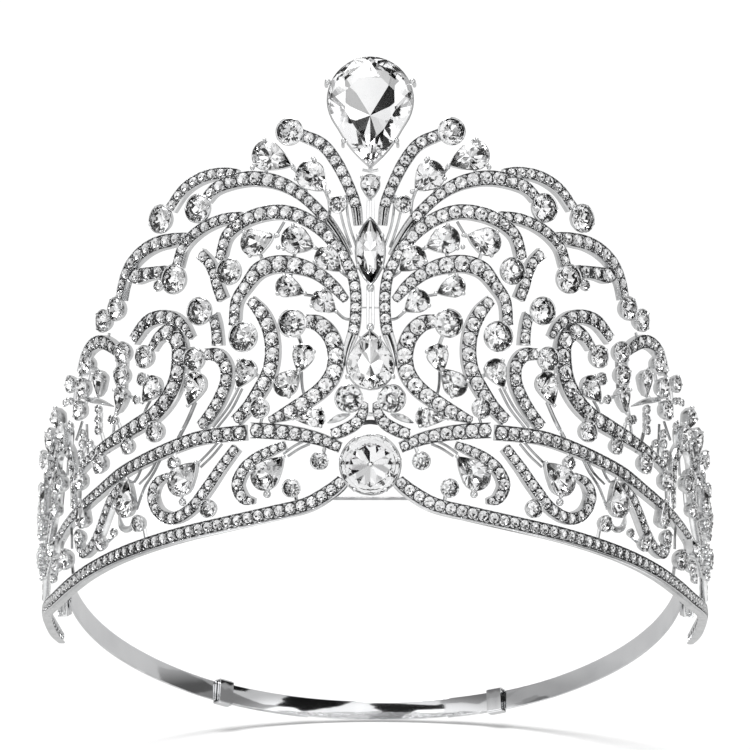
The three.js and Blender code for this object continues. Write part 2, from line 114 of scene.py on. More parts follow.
def noise(tree, scale, detail=3.0, rough=0.55, stretch=None):
    """A noise texture in object space, scale in features per metre."""
    coords = tree.nodes.new("ShaderNodeTexCoord")
    texture = tree.nodes.new("ShaderNodeTexNoise")
    texture.inputs["Scale"].default_value = scale
    texture.inputs["Detail"].default_value = detail
    texture.inputs["Roughness"].default_value = rough
    source = coords.outputs["Object"]
    if stretch:
        mapping = tree.nodes.new("ShaderNodeMapping")
        mapping.inputs["Scale"].default_value = stretch
        tree.links.new(source, mapping.inputs["Vector"])
        source = mapping.outputs["Vector"]
    tree.links.new(source, texture.inputs["Vector"])
    return texture.outputs["Fac"]


def ramp(tree, source, stops):
    """Maps a 0-1 value through colour stops [(position, grey or colour)]."""
    node = tree.nodes.new("ShaderNodeValToRGB")
    elements = node.color_ramp.elements
    while len(elements) < len(stops):
        elements.new(0.5)
    for element, (position, colour) in zip(elements, stops):
        element.position = position
        element.color = (*colour, 1) if isinstance(colour, tuple) else (colour, colour, colour, 1)
    tree.links.new(source, node.inputs["Fac"])
    return node.outputs["Color"]


def bump(tree, shader, source, height_mm, strength):
    node = tree.nodes.new("ShaderNodeBump")
    node.inputs["Strength"].default_value = strength
    node.inputs["Distance"].default_value = height_mm * MM
    tree.links.new(source, node.inputs["Height"])
    tree.links.new(node.outputs["Normal"], shader.inputs["Normal"])


def silver_material(name, light, dark, rough_low, rough_high, bump_mm, scale=2200.0):
    mat, tree, shader = new_material(name, Metallic=1.0)
    cloud = noise(tree, scale * 0.2, 4.0)
    grain = noise(tree, scale, 5.0, 0.65)
    tree.links.new(ramp(tree, cloud, [(0.3, dark), (0.7, light)]), shader.inputs["Base Color"])
    tree.links.new(ramp(tree, grain, [(0.3, rough_low), (0.75, rough_high)]), shader.inputs["Roughness"])
    bump(tree, shader, grain, bump_mm, 0.6)
    return mat


CAST = silver_material("cast_silver", (0.92, 0.925, 0.93), (0.78, 0.785, 0.79), 0.10, 0.26, 0.02)
# The dark silver below is painted shade. It darkens the rings round the pave stones, the insides of cups,
# baskets and back seats, and one stem bar, where shade would fall.
PAINTED_SHADE = silver_material("silver_painted_shade", (0.16, 0.16, 0.165), (0.05, 0.05, 0.052), 0.3, 0.55, 0.03)
DRAWN = silver_material("drawn_wire", (0.62, 0.625, 0.63), (0.4, 0.405, 0.41), 0.12, 0.3, 0.01)
BRIGHT = silver_material("bead_silver", (0.93, 0.935, 0.94), (0.8, 0.805, 0.81), 0.06, 0.16, 0.004)


def band_material():
    mat, tree, shader = new_material("polished_band", Metallic=1.0)
    cloud = noise(tree, 60.0, 2.0)
    hairline = noise(tree, 900.0, 4.0, 0.7, (0.12, 0.12, 6.0))
    tree.links.new(
        ramp(tree, cloud, [(0.3, (0.78, 0.785, 0.8)), (0.7, (0.9, 0.905, 0.915))]),
        shader.inputs["Base Color"],
    )
    tree.links.new(ramp(tree, hairline, [(0.35, 0.05), (0.8, 0.13)]), shader.inputs["Roughness"])
    bump(tree, shader, hairline, 0.003, 0.35)
    return mat


def crystal_material():
    mat, tree, shader = new_material("crystal", Roughness=0.0, IOR=1.56, Transmission_Weight=1.0)
    cloud = noise(tree, 700.0, 2.0)
    tint = ramp(tree, cloud, [(0.3, (0.98, 0.985, 0.99)), (0.7, (1.0, 1.0, 1.0))])
    tree.links.new(tint, shader.inputs["Base Color"])
    return mat


BAND = band_material()
CRYSTAL = crystal_material()
FOIL = silver_material("foil_back", (1.0, 1.0, 1.0), (0.93, 0.93, 0.935), 0.02, 0.07, 0.002, 900.0)
METALS = [CAST, PAINTED_SHADE, BRIGHT, DRAWN]
# A face's material number in a piece of metal: its material's place in METALS.
CAST_AT, PAINTED_SHADE_AT, BRIGHT_AT, DRAWN_AT = range(4)
GEMS = [CRYSTAL, FOIL]


# ---------- pieces ----------
class Piece:
    """Faces gathered in millimetres; each face keeps its material number and its shading."""

    def __init__(self, name, materials, slot, body="crown", replaces=()):
        self.name, self.materials, self.slot = name, materials, slot
        self.body, self.replaces = body, replaces
        self.verts, self.faces, self.mats, self.smooth = [], [], [], []
        self.count = 0

    def add(self, verts, faces, mats=0, smooth=True, closed=False):
        verts = np.asarray(verts, float).reshape(-1, 3)
        if closed and signed_volume(verts, faces) < 0:
            faces = [f[::-1] for f in faces]
        self.verts.append(verts)
        self.faces += [tuple(i + self.count for i in f) for f in faces]
        self.mats += [mats] * len(faces) if isinstance(mats, int) else list(mats)
        self.smooth += [smooth] * len(faces)
        self.count += len(verts)

    def mirrored(self, name, replaces=()):
        """The same piece on the left of the tiara."""
        twin = Piece(name, self.materials, self.slot, self.body, replaces)
        twin.verts = [v * (-1, 1, 1) for v in self.verts]
        twin.faces = [f[::-1] for f in self.faces]
        twin.mats, twin.smooth, twin.count = self.mats, self.smooth, self.count
        return twin

    def build(self, sharp=SHARP_ANGLE):
        if not self.count:
            return None
        mesh = bpy.data.meshes.new(self.name)
        mesh.from_pydata((np.vstack(self.verts) * MM).tolist(), [], self.faces)
        for mat in self.materials:
            mesh.materials.append(mat)
        mesh.polygons.foreach_set("material_index", self.mats)
        mesh.set_sharp_from_angle(angle=math.radians(sharp))
        mesh.polygons.foreach_set("use_smooth", self.smooth)
        mesh.update()
        obj = bpy.data.objects.new(self.name, mesh)
        bpy.context.scene.collection.objects.link(obj)
        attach(obj, self.body)
        if self.replaces:
            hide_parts(*self.replaces)
        return obj


def signed_volume(verts, faces):
    total = 0.0
    for f in faces:
        a = verts[f[0]]
        for i in range(1, len(f) - 1):
            total += np.dot(a, np.cross(verts[f[i]], verts[f[i + 1]]))
    return total


def grid_faces(rows, per_row, ring=False):
    """Quads between neighbouring closed rows of points: capped at both ends, or joined into a ring."""
    faces = []
    for i in range(rows if ring else rows - 1):
        a, b = i * per_row, (i + 1) % rows * per_row
        for j in range(per_row):
            n = (j + 1) % per_row
            faces.append((a + j, a + n, b + n, b + j))
    if not ring:
        last = (rows - 1) * per_row
        faces += [tuple(range(per_row))[::-1], tuple(range(last, last + per_row))]
    return faces


def build_pair(piece, replaces_right=(), replaces_left=()):
    """Builds a right-hand piece and its mirror image."""
    base = piece.name
    piece.name, piece.replaces = base + "_right", replaces_right
    piece.build()
    piece.mirrored(base + "_left", replaces_left).build()


# ---------- the bent wall ----------
def wall(along, up, radius):
    """Points of the wall at arc lengths, heights and radii."""
    angle = np.asarray(along, float) / PATTERN_RADIUS
    radius = np.broadcast_to(radius, angle.shape)
    up = np.broadcast_to(up, angle.shape)
    return np.stack([radius * np.sin(angle), -radius * np.cos(angle), up + DATUM_HEIGHT], -1)


def wall_frame(along):
    """Directions along the wall, up it and out of it, as rows."""
    angle = along / PATTERN_RADIUS
    return np.array([
        [math.cos(angle), math.sin(angle), 0],
        [0, 0, 1],
        [math.sin(angle), -math.cos(angle), 0],
    ])


def placed(local, along, up, radius, turn=0.0, tilt=(0.0, 0.0)):
    """Local points (across, upward, outward) set on the wall, turned in its plane and tipped a little."""
    local = np.asarray(local, float)
    c, s = math.cos(turn), math.sin(turn)
    x = local[:, 0] * c - local[:, 1] * s
    y = local[:, 0] * s + local[:, 1] * c
    z = local[:, 2] + x * tilt[0] + y * tilt[1]
    origin = wall(along, up, radius)
    return origin + np.stack([x, y, z], -1) @ wall_frame(along)


# ---------- curves ----------
def lengths_along(curve):
    """The distance along a curve, in the wall's plane, at each of its points."""
    return np.concatenate([[0], np.cumsum(np.linalg.norm(np.diff(curve[:, :2], axis=0), axis=1))])


def smooth_curve(points, step):
    """Centripetal Catmull-Rom curve through the points, resampled evenly in the wall's plane."""
    p = np.array(points, float)
    p = np.vstack([2 * p[0] - p[1], p, 2 * p[-1] - p[-2]])
    u = np.linspace(0, 1, 24, endpoint=False)[:, None]
    dense = []
    for a, b, c, d in zip(p[:-3], p[1:-2], p[2:-1], p[3:]):
        ta, tb, tc = (max(np.sum((q - r) ** 2) ** 0.25, 1e-6) for q, r in ((a, b), (b, c), (c, d)))
        start = ((b - a) / ta - (c - a) / (ta + tb) + (c - b) / tb) * tb
        end = ((c - b) / tb - (d - b) / (tb + tc) + (d - c) / tc) * tb
        dense.append(
            b + u * start + u**2 * (3 * c - 3 * b - 2 * start - end) + u**3 * (2 * b - 2 * c + start + end)
        )
    dense = np.vstack([*dense, p[-2]])
    length = lengths_along(dense)
    count = max(3, int(math.ceil(length[-1] / step)) + 1)
    at = np.linspace(0, length[-1], count)
    return np.stack([np.interp(at, length, dense[:, k]) for k in range(dense.shape[1])], -1)


def tangents(curve):
    t = np.gradient(curve[:, :2], axis=0)
    return t / np.maximum(np.linalg.norm(t, axis=1), 1e-9)[:, None]


class Blockers:
    """Outlines already placed on the wall, so that later scrolls and stones stop at them."""

    def __init__(self):
        self.centres = np.zeros((0, 2))
        self.radii = np.zeros(0)

    def add(self, centres, radii):
        self.centres = np.vstack([self.centres, np.reshape(centres, (-1, 2))])
        self.radii = np.concatenate([self.radii, np.atleast_1d(radii)])

    def depth(self, points):
        """How far each point is inside the nearest outline; negative outside."""
        if not len(self.radii):
            return np.full(len(points), -99.0)
        gap = np.linalg.norm(points[:, None] - self.centres[None], axis=2) - self.radii[None]
        return -gap.min(axis=1)


# ---------- channels ----------
def channel_profile(half):
    """Corners (across, radius) round a channel's section, right-hand back edge first."""
    rim = min(RIM, half * 0.45)
    side = [
        (half - 0.28, WALL_INNER),
        (half - 0.08, WALL_INNER + 0.08),
        (half, WALL_INNER + 0.3),
        (half, WALL_OUTER - 0.38),
        (half - 0.05, WALL_OUTER - 0.14),
        (half - rim * 0.45, WALL_OUTER),
        (half - rim * 0.9, WALL_OUTER - 0.1),
        (half - rim, WALL_OUTER - 0.3),
        (half - rim - 0.04, FLOOR + 0.04),
        (half - rim - 0.12, FLOOR),
    ]
    mirror = [(-a, r) for a, r in side[::-1]]
    gutter = max(half - 0.5, 0.1)
    back = [(-gutter, WALL_INNER + 0.1), (0, WALL_INNER + 0.16), (gutter, WALL_INNER + 0.1)]
    return np.array(side + mirror + back)


def tail_profile(half):
    """A plain tail: a strip with two rounded ridges and a groove between them."""
    side = [
        (half - 0.2, WALL_INNER + 0.2), (half, WALL_INNER + 0.5), (half, WALL_OUTER - 0.5),
        (half * 0.86, WALL_OUTER - 0.2), (half * 0.5, WALL_OUTER - 0.18), (half * 0.16, WALL_OUTER - 0.3),
    ]
    mirror = [(-a, r) for a, r in side[::-1]]
    return np.array(side + [(0, WALL_INNER + 0.7)] + mirror + [(0, WALL_INNER + 0.2)])


def lip_profile(half):
    """The plain rounded lip under the base rail, set back from the channel's face."""
    low, high = -half - 0.38, -half + 0.1
    return np.array([
        (high, 78.7), (high, 80.25), (low + 0.2, 80.3), (low + 0.04, 80.2), (low, 80.0), (low, 78.95),
        (low + 0.06, 78.72), (low + 0.25, 78.62),
    ])


def swept(piece, curve, profile_of):
    """Sweeps a section along a curve on the wall."""
    rings = []
    for (along, up, width), (tx, ty) in zip(curve, tangents(curve)):
        across, radius = profile_of(width / 2).T
        rings.append(wall(along - ty * across, up + tx * across, radius))
    piece.add(np.vstack(rings), grid_faces(len(rings), len(rings[0])), closed=True)


# ---------- stones ----------
def gem_faces(main, fine=1):
    """Faces and material numbers of a brilliant cut with that many main facets."""
    around = 2 * main * fine
    table, mid, low, culet = around, around + main, around + 2 * main, around + 3 * main
    faces, mats = [tuple(table + k for k in range(main))], [0]
    for k in range(main):
        nxt, prev = (k + 1) % main, (k - 1) % main
        edge = [(2 * k * fine + j) % around for j in range(2 * fine + 1)]
        faces += [(table + k, mid + k, table + nxt), (table + k, mid + prev, edge[0], mid + k)]
        faces += [(mid + k, a, b) for a, b in zip(edge[:-1], edge[1:])]
        mats += [0] * (2 + 2 * fine)
        faces.append((edge[0], low + prev, culet, low + k))
        faces += [(b, a, low + k) for a, b in zip(edge[:-1], edge[1:])]
        mats += [1] * (1 + 2 * fine)
    return faces, mats


def gem_points(outline, centre, table, crown, depth, middle=0.8, low=0.42, fine=1):
    """Points of a brilliant cut: the outline, an even number of points, is its girdle at height 0."""
    outline = np.asarray(outline, float)
    centre = np.asarray(centre, float)
    main = len(outline) // (2 * fine)
    share = math.cos(math.pi / main)
    crown_mid = crown * (1 - middle * share) / (1 - table)
    low_depth = depth * (1 - low * share)

    def ring(points, scale, height):
        flat = centre + (points - centre) * scale
        return np.column_stack([flat, np.full(len(flat), height)])

    return np.vstack([
        ring(outline, 1, 0),
        ring(outline[0 :: 2 * fine], table, crown),
        ring(outline[fine :: 2 * fine], middle, crown_mid),
        ring(outline[fine :: 2 * fine], low, -low_depth),
        [[*centre, -depth]],
    ])


def circle(radius, count, start=0.0):
    a = start + np.arange(count) * 2 * math.pi / count
    return np.column_stack([radius * np.cos(a), radius * np.sin(a)])


def round_cut(main, table, crown, depth):
    """A round stone of radius 1 with that many main facets: its points, faces and material numbers."""
    return gem_points(circle(1, 2 * main), (0, 0), table, crown, depth), *gem_faces(main)


ACCENT_CUT = round_cut(8, 0.52, 0.34, 0.7)
PAVE_CUT = round_cut(6, 0.5, 0.34, 0.3)


def add_round(piece, along, up, girdle, radius, cut=ACCENT_CUT):
    """A round stone, turned at random and tipped by up to a few degrees."""
    points, faces, mats = cut
    tilt = rng.uniform(-0.05, 0.05, 2)
    verts = placed(points * radius, along, up, girdle, rng.uniform(0, math.pi), tilt)
    piece.add(verts, faces, mats, smooth=False)


def ball_template(rings, sides):
    """Points and faces of a ball of radius 1."""
    verts, faces = [(0, 0, 1)], []
    for i in range(1, rings):
        polar = math.pi * i / rings
        for x, y in circle(math.sin(polar), sides):
            verts.append((x, y, math.cos(polar)))
    verts.append((0, 0, -1))
    last = len(verts) - 1
    for j in range(sides):
        nxt = (j + 1) % sides
        faces.append((0, 1 + j, 1 + nxt))
        for i in range(rings - 2):
            a, b = 1 + i * sides + j, 1 + i * sides + nxt
            faces.append((a, a + sides, b + sides, b))
        faces.append((last - sides + j, last, last - sides + nxt))
    return np.array(verts, float), faces


BEAD = ball_template(4, 6)
BALL = ball_template(8, 14)


def add_ball(piece, along, up, radius_at, size, ball=BALL, squash=1.0):
    verts, faces = ball
    piece.add(placed(verts * (size, size, size * squash), along, up, radius_at), faces, BRIGHT_AT)


def add_pin(piece, along, up):
    """A bead prong: a slim post from the channel's floor with a rounded head."""
    levels = [(0.8, FLOOR - 0.1), (0.8, 80.4), (1.05, 80.62), (0.85, 80.84), (0.4, 80.95)]
    sides = 6
    local = [(*point, radius) for share, radius in levels for point in circle(share * PIN_RADIUS, sides)]
    *posts, _, head = grid_faces(len(levels), sides)
    mats = [CAST_AT] * sides + [BRIGHT_AT] * (len(posts) + 1 - sides)
    piece.add(placed(local, along, up, 0), [*posts, head], mats)


def add_wall(piece, along, up, outline_of, levels, mats=None, turn=0.0):
    """A closed wall round a point: outline_of(grow) is its outline, levels rows are (grow, radius)."""
    rings = [np.insert(outline_of(grow), 2, radius, axis=1) for grow, radius in levels]
    count, k = len(rings[0]), len(levels)
    verts = placed(np.stack(rings, 1).reshape(-1, 3), along, up, 0, turn)
    piece.add(verts, grid_faces(count, k, ring=True), (mats or [CAST_AT] * k) * count, closed=True)


def revolve(piece, along, up, profile, sides=24, mats=None):
    """A ring turned about the wall's outward direction: profile rows are (distance, radius)."""
    add_wall(piece, along, up, lambda distance: circle(distance, sides), profile, mats)


def tube(piece, points, radius, at=WIRE_AT, sides=8, mat=CAST_AT, taper=None):
    """A round wire along points (along, up) that stands at one radius of the wall."""
    curve = smooth_curve([(*point, at) for point in points], 0.7)
    centres = wall(curve[:, 0], curve[:, 1], curve[:, 2])
    t = np.gradient(centres, axis=0)
    t /= np.linalg.norm(t, axis=1)[:, None]
    out = np.array([wall_frame(a)[2] for a in curve[:, 0]])
    side = np.cross(t, out)
    side /= np.linalg.norm(side, axis=1)[:, None]
    out = np.cross(side, t)
    scale = np.ones(len(curve)) if taper is None else np.interp(np.linspace(0, 1, len(curve)), *taper)
    around = circle(1, sides)[None]
    rings = centres[:, None] + radius * scale[:, None, None] * (
        around[..., :1] * side[:, None] + around[..., 1:] * out[:, None]
    )
    piece.add(rings.reshape(-1, 3), grid_faces(len(rings), sides), mat, closed=True)


# ---------- pave along a channel ----------
def stone_row(curve, inset, gap):
    """Stone centres and radii along a channel: [(along, up, radius)]."""
    length = lengths_along(curve)
    total = length[-1]
    size = lambda at: float(np.clip((np.interp(at, length, curve[:, 2]) - inset) / 2, *STONE_RADII))
    places, at = [], size(0) * 0.9
    while at + size(at) * 0.75 < total:
        places.append(at)
        step = size(at) * 2 + gap
        at += size(at) + gap + size(at + step)
    if not places:
        return []
    spare = total - (places[-1] + size(places[-1]) * 0.9)
    places = [p + spare * (i + 1) / (len(places) + 1) for i, p in enumerate(places)]
    return [
        (np.interp(p, length, curve[:, 0]), np.interp(p, length, curve[:, 1]), size(p)) for p in places
    ]


def set_stones(metal, stones, curve, inset, gap):
    """Fills a channel with pave stones, bead prongs between them and seats on the back; the dark rings round
    the stones and the seats' insides are painted shade.
    """
    rows = stone_row(curve, inset, gap)
    for (s, h, radius), before in zip(rows, [None, *rows]):
        add_round(stones, s, h, GIRDLE, radius, PAVE_CUT)
        # A ring round each stone in the dark silver: painted shade in the gap between stone and channel
        # floor.
        revolve(metal, s, h, [
            (radius - 0.02, FLOOR - 0.1), (radius + 0.13, FLOOR - 0.1), (radius + 0.13, GIRDLE - 0.08),
            (radius, GIRDLE),
        ], sides=12, mats=[PAINTED_SHADE_AT] * 4)
        # A seat on the back; its inside is painted dark, as shade.
        revolve(metal, s, h, [
            (radius * 0.42, WALL_INNER - 0.08), (radius * 0.62, WALL_INNER - 0.08),
            (radius * 0.72, WALL_INNER + 0.2), (radius * 0.34, WALL_INNER + 0.4),
        ], sides=8, mats=[CAST_AT] * 3 + [PAINTED_SHADE_AT])
        if before is None:
            continue
        ps, ph, pr = before
        if math.hypot(s - ps, h - ph) < radius + pr + 1.2:
            turn = math.atan2(h - ph, s - ps)
            for off in (-0.36 * (radius + pr), 0.36 * (radius + pr)):
                add_pin(metal, (s + ps) / 2 - math.sin(turn) * off, (h + ph) / 2 + math.cos(turn) * off)


def trimmed(curve, blockers, margin=0.25):
    """The longest stretch of a curve outside what is already placed."""
    hidden = blockers.depth(curve[:, :2]) > margin
    best, start = (0, 0), None
    for i, h in enumerate([*hidden, True]):
        if not h and start is None:
            start = i
        if h and start is not None:
            if i - start > best[1] - best[0]:
                best = (start, i)
            start = None
    a, b = max(best[0] - 1, 0), min(best[1] + 1, len(curve))
    return curve[a:b]


# ---------- the pattern: ribbons (along, up, width), as in the CAD ----------
BASE_RAIL = [
    (4.8, -4.9, 2.2), (6.3, -6.6, 2.6), (9.2, -8.7, 2.8), (12.6, -10.5, 2.8), (20, -12.3, 2.8),
    (30, -14.5, 2.8), (40, -16.7, 2.8), (50, -19.3, 2.8), (60, -22.3, 2.8), (70, -25.8, 2.8),
    (80, -29.7, 2.8), (90, -33.4, 2.8), (100, -36, 2.8), (110, -38.3, 2.8), (119, -41.2, 3),
    (127, -44.6, 3.2), (133.4, -47.5, 2.2),
]
RIBBONS = {
    "upper_rail_inner": [[
        (6, 0.5, 2.2), (10, 2.1, 2.6), (15, 3.2, 3), (20, 3.7, 3.2), (24.4, 3.9, 3.2),
    ]],
    "upper_rail_outer": [[
        (24.9, 3.5, 3.2), (30, 3.1, 3.1), (36, 2.4, 3), (42, 0.8, 2.9), (50, -1.9, 2.8), (58, -5, 2.7),
        (65, -8.6, 2.6), (75, -13.4, 2.5), (85, -18.8, 2.4), (95, -25.4, 2.2), (104, -32.2, 2),
    ]],
    "heart_stem": [[
        (5.1, 16.4, 0.8), (4.8, 18.6, 1.5), (4.2, 20.8, 2), (3.3, 23.4, 2.4), (2.9, 27, 2.4),
        (2.95, 31, 2.4), (3.6, 34.4, 2.4), (5.6, 38.3, 2.6), (9, 42.6, 2.7), (13.4, 45.7, 2.9),
        (18, 47.1, 3), (23.8, 46.5, 3), (27.4, 44.9, 2.8), (30, 42.6, 2.6), (31.4, 38.2, 2.4),
    ], [
        (25.5, 46.4, 2.4), (31, 46.2, 2.4), (36.6, 44.2, 2.5), (40.4, 41.1, 2.5), (41.9, 37.4, 2.5),
    ]],
    "high_plume": [[
        (4.2, 38.2, 1.6), (6.2, 41.8, 2), (8.8, 45.4, 2.4), (13.6, 50.1, 2.5), (18.2, 52.8, 2.9),
        (24, 54.1, 3.1), (29.5, 53.6, 3), (33, 52.3, 2.6), (34.8, 50.6, 2.4),
    ], [
        (26.5, 54.9, 2.2), (31, 55.6, 2.4), (36, 55, 2.5), (40.4, 52.9, 2.5), (44.2, 48.9, 2.5),
    ]],
    "top_plume": [[
        (2.4, 44.2, 2), (2.9, 48, 2.3), (4.3, 51.8, 2.4), (6.8, 56.7, 2.6), (9.7, 60.3, 2.6),
        (14, 62.4, 2.4),
    ]],
    "outer_arch": [[
        (39.6, 43.3, 1.8), (43, 42.9, 2.9), (47.5, 42.4, 3.1), (51.8, 40.9, 3.1), (55.6, 38.2, 2.9),
        (57.7, 34.8, 2.7), (58.6, 31.6, 2.5),
    ], [
        (45.2, 36.5, 2.6), (49.6, 36.4, 2.8), (53.4, 36.2, 3.4), (56, 37.4, 3),
    ]],
    "curl_link": [[
        (36.2, 39.7, 2.5), (34, 37.7, 2.4), (32.7, 35.2, 2.4), (31.8, 32.5, 2.5), (30.8, 30.2, 2.6),
    ]],
    "drop_link": [[
        (38.9, 33.5, 2.6), (36.4, 31.6, 2.8), (34.4, 29.4, 2.6), (32.6, 26, 2.4), (32, 22.6, 2.5),
        (31.9, 20.9, 2.6),
    ]],
    "low_plume": [[
        (4.9, 29.4, 1.8), (7.2, 32, 2.5), (11, 34.9, 2.9), (15.2, 36.4, 3.5), (19.4, 36.7, 3.6),
        (22.8, 35.6, 3.5), (25.5, 32.6, 2.8), (27.6, 29.6, 2.6), (28.1, 24.8, 2.5),
    ]],
    "leaf_scroll": [[
        (24.6, 29.8, 2.2), (22.2, 27.2, 3), (20.4, 23.6, 3.2), (19.8, 19.4, 3.2), (20.4, 15.6, 3.2),
        (22.3, 12, 3.2), (25, 8.4, 2.8), (27.8, 5.7, 2.6),
    ]],
    "inner_heart": [[
        (13, 25.4, 2.6), (10.2, 24.7, 3.4), (7.8, 22.2, 3.5), (6.8, 18.6, 3.5), (7.3, 15.1, 3.5),
        (9.3, 12.2, 3.4), (12.6, 9.7, 3.2), (16.4, 7.4, 3), (20.4, 5.9, 1.4),
    ]],
    "mid_scroll": [[
        (34.8, 19.2, 2.4), (31.8, 18.9, 2.9), (30, 16.9, 2.9), (29.8, 13.8, 2.8), (31.3, 10.2, 2.8),
        (33.6, 6.9, 2.7), (35.8, 4.6, 2.5),
    ]],
    "heart_limb": [[
        (49, 20.4, 2), (46.6, 23.1, 2.6), (43.8, 24, 3.6), (41.4, 21.7, 3.8), (41.2, 17.6, 3.8),
        (42, 13.9, 3.8), (44.1, 10.5, 3.8), (47.4, 7.5, 3.6), (53, 4.9, 3.4), (59.6, 2.3, 3),
        (66, -0.3, 2.4), (71, -2.6, 2.2), (74.2, -4.4, 2),
    ]],
    "outer_heart": [[
        (38.2, 22.8, 1.6), (40, 25.2, 2.2), (42.8, 26.8, 2.8), (46.6, 27.2, 3), (50.3, 26.2, 3),
        (54.2, 22.8, 2.6),
    ]],
    "side_arch": [[
        (58.9, 20.3, 2), (61.5, 21.9, 2.8), (65, 23, 3), (68.6, 22.6, 3), (71.8, 20.8, 2.8),
        (74.4, 16.6, 2.5),
    ]],
    "end_arch": [[
        (77.2, -12.6, 2), (77, -8.6, 2.6), (77.6, -4.4, 2.8), (79.8, -0.8, 2.8), (83.4, 1, 2.8),
        (87.2, 0.2, 2.8), (89.8, -2.8, 2.8), (90.6, -7, 2.6), (90.8, -11, 2.6), (93, -15.6, 2.6),
        (97, -20.6, 2.4),
    ]],
    "far_arch": [[
        (97.2, -6.2, 2.2), (100.4, -4.6, 2.6), (104.4, -6, 2.8), (107.4, -10, 2.8), (109, -15.4, 2.8),
        (109.6, -21.6, 2.8), (109.8, -28.4, 2.6), (109.8, -35.8, 2.4),
    ]],
    "hook_scroll": [[
        (17.2, 1, 1.6), (20.2, -0.2, 2.2), (23.6, -1.9, 2.4), (26, -4.1, 2.6), (27.2, -7, 2.7),
        (25.8, -9.6, 2.4), (23.6, -10.1, 1.2),
    ]],
    "rail_scroll": [[
        (27.6, 0.4, 2.2), (30.8, -3.4, 2.4), (34, -7.5, 2.6), (38, -11.8, 2.6), (42.6, -13.8, 2.6),
        (46.4, -12.6, 2.6), (48.1, -9.4, 2.6), (46.9, -6.7, 2.2), (44, -5.2, 1.4),
    ]],
    "rail_chain": [[
        (57.6, -7.4, 1.8), (60.4, -9.8, 2.4), (62.9, -13.4, 2.5), (65.6, -17.6, 2.5), (69, -21, 2.3),
        (72.6, -22.2, 2.1), (75, -19.6, 2),
    ]],
    "small_scroll": [[
        (1.2, 9.2, 1.6), (1.5, 7.2, 2.2), (2.7, 5.4, 2.5), (5, 4, 2.6), (7.6, 3, 2.4),
    ]],
}

# Scrolls that the CAD part leaves out.
ONLY_HERE = {"small_scroll"}

# Plain tapered tails: how much of each ribbon's start, in mm, carries no stones.
TAILS = {"high_plume": (8.4, 0), "heart_stem": (6.4, 0), "top_plume": (3.4,)}

# Round accent stones in cups: (along, up, radius).
ROUNDS = [
    (16.1, 62.8, 2.8), (36, 48.6, 3), (45.4, 47.2, 3), (28.8, 35.5, 2.8), (41.8, 34.6, 3.1),
    (15.4, 24.8, 2.9), (35.5, 27.8, 2.9), (58.5, 29.5, 2.6), (63, 27.3, 2.5), (25.6, 22.4, 3.1),
    (36.7, 18.2, 2.5), (49.6, 19.1, 2.45), (56.2, 20.2, 2.4), (4.15, 10, 2.85), (56.5, 15.5, 2.3),
    (50.8, 14.6, 1.4), (59.3, 6.2, 1.1), (46.5, 3.8, 2.3), (54.4, 0.8, 1.8), (63.9, -2.8, 2.3),
    (72, -6.6, 2.3), (71.2, 13.3, 2.3), (77.2, 14.4, 2), (72.7, 8.6, 2.3), (69.2, 18.3, 2.2),
    (9.9, -2.1, 1.85), (15.5, -7.4, 1.9), (33.2, -11.6, 1.9), (42, -2.6, 1.5), (51, -15, 1.8),
    (59.2, -17.2, 1), (63.2, -19.6, 1.7), (79, -23.8, 2.4), (93, -3.6, 2.6), (99.8, -2.2, 2.3),
    (112.2, -16.6, 2.5), (112.6, -26, 2.5), (22.1, 8.2, 2.1), (6.5, 48.1, 1.8), (82.6, -7.4, 2.2),
    (86, -13.2, 2), (103.4, -9.6, 2.1), (103.6, -14.3, 2.2), (98.8, -17.2, 1.9), (103.6, -19.2, 2.1),
    (99.8, -23.4, 1.9), (71.9, -18.7, 1.8), (84.4, -25.6, 1.6), (100, -28.6, 1.6), (104.6, -26.4, 1.6),
]

# Pear stones: (along, up) of the round end's centre, its radius, (along, up) of the tip.
PEARS = [
    (20.8, 58.3, 2.7, 16, 56.2), (11.8, 54, 2.6, 9.2, 51.2), (14.9, 41.3, 2.5, 11.3, 39.8),
    (23.4, 41.1, 2.5, 19.6, 42.1), (8.6, 37.6, 2.1, 5.9, 35.1), (16.6, 32.1, 1.95, 13.2, 30.8),
    (9.4, 29.1, 2, 6.9, 27.2), (13.1, 18.6, 1.95, 13.9, 15.4), (16.7, 12.8, 2.2, 14.2, 15.4),
    (25, 15.8, 2, 26.5, 12.6), (36.4, 13.2, 2.2, 37.6, 9.4), (10.6, 6.3, 1.7, 14.6, 6.2),
    (47.3, 12.9, 2.1, 49.4, 10.1), (64.4, 15.2, 1.6, 64.3, 11.6), (56.7, 11.4, 1.6, 57.2, 8),
    (81.7, 3.9, 1.9, 79.8, 1.2), (85.7, 7.4, 1.9, 83.4, 4.9), (90.4, 3, 1.9, 90.4, -0.8),
    (20.9, -5.1, 2.6, 17.4, -1.7), (39.9, -6.3, 2.7, 36.2, -2.9), (55.1, -11.2, 2.5, 54, -6.6),
    (70.7, -15, 1.6, 70.9, -11.2), (84.6, -8, 1.7, 83.6, -4.6), (87.4, -22.2, 1.7, 84.6, -19.9),
    (97, -12.6, 1.8, 95.4, -9.2),
]

# Small balls: (along, up, radius).
BALLS = [
    (23.8, 56, 0.5), (11.3, 57.2, 0.5), (15.3, 55.6, 0.5), (8.2, 50.6, 0.5), (18.3, 39.9, 0.5),
    (18.5, 42.3, 0.5), (20.4, -8.6, 0.8), (39.2, -10.4, 0.8),
]

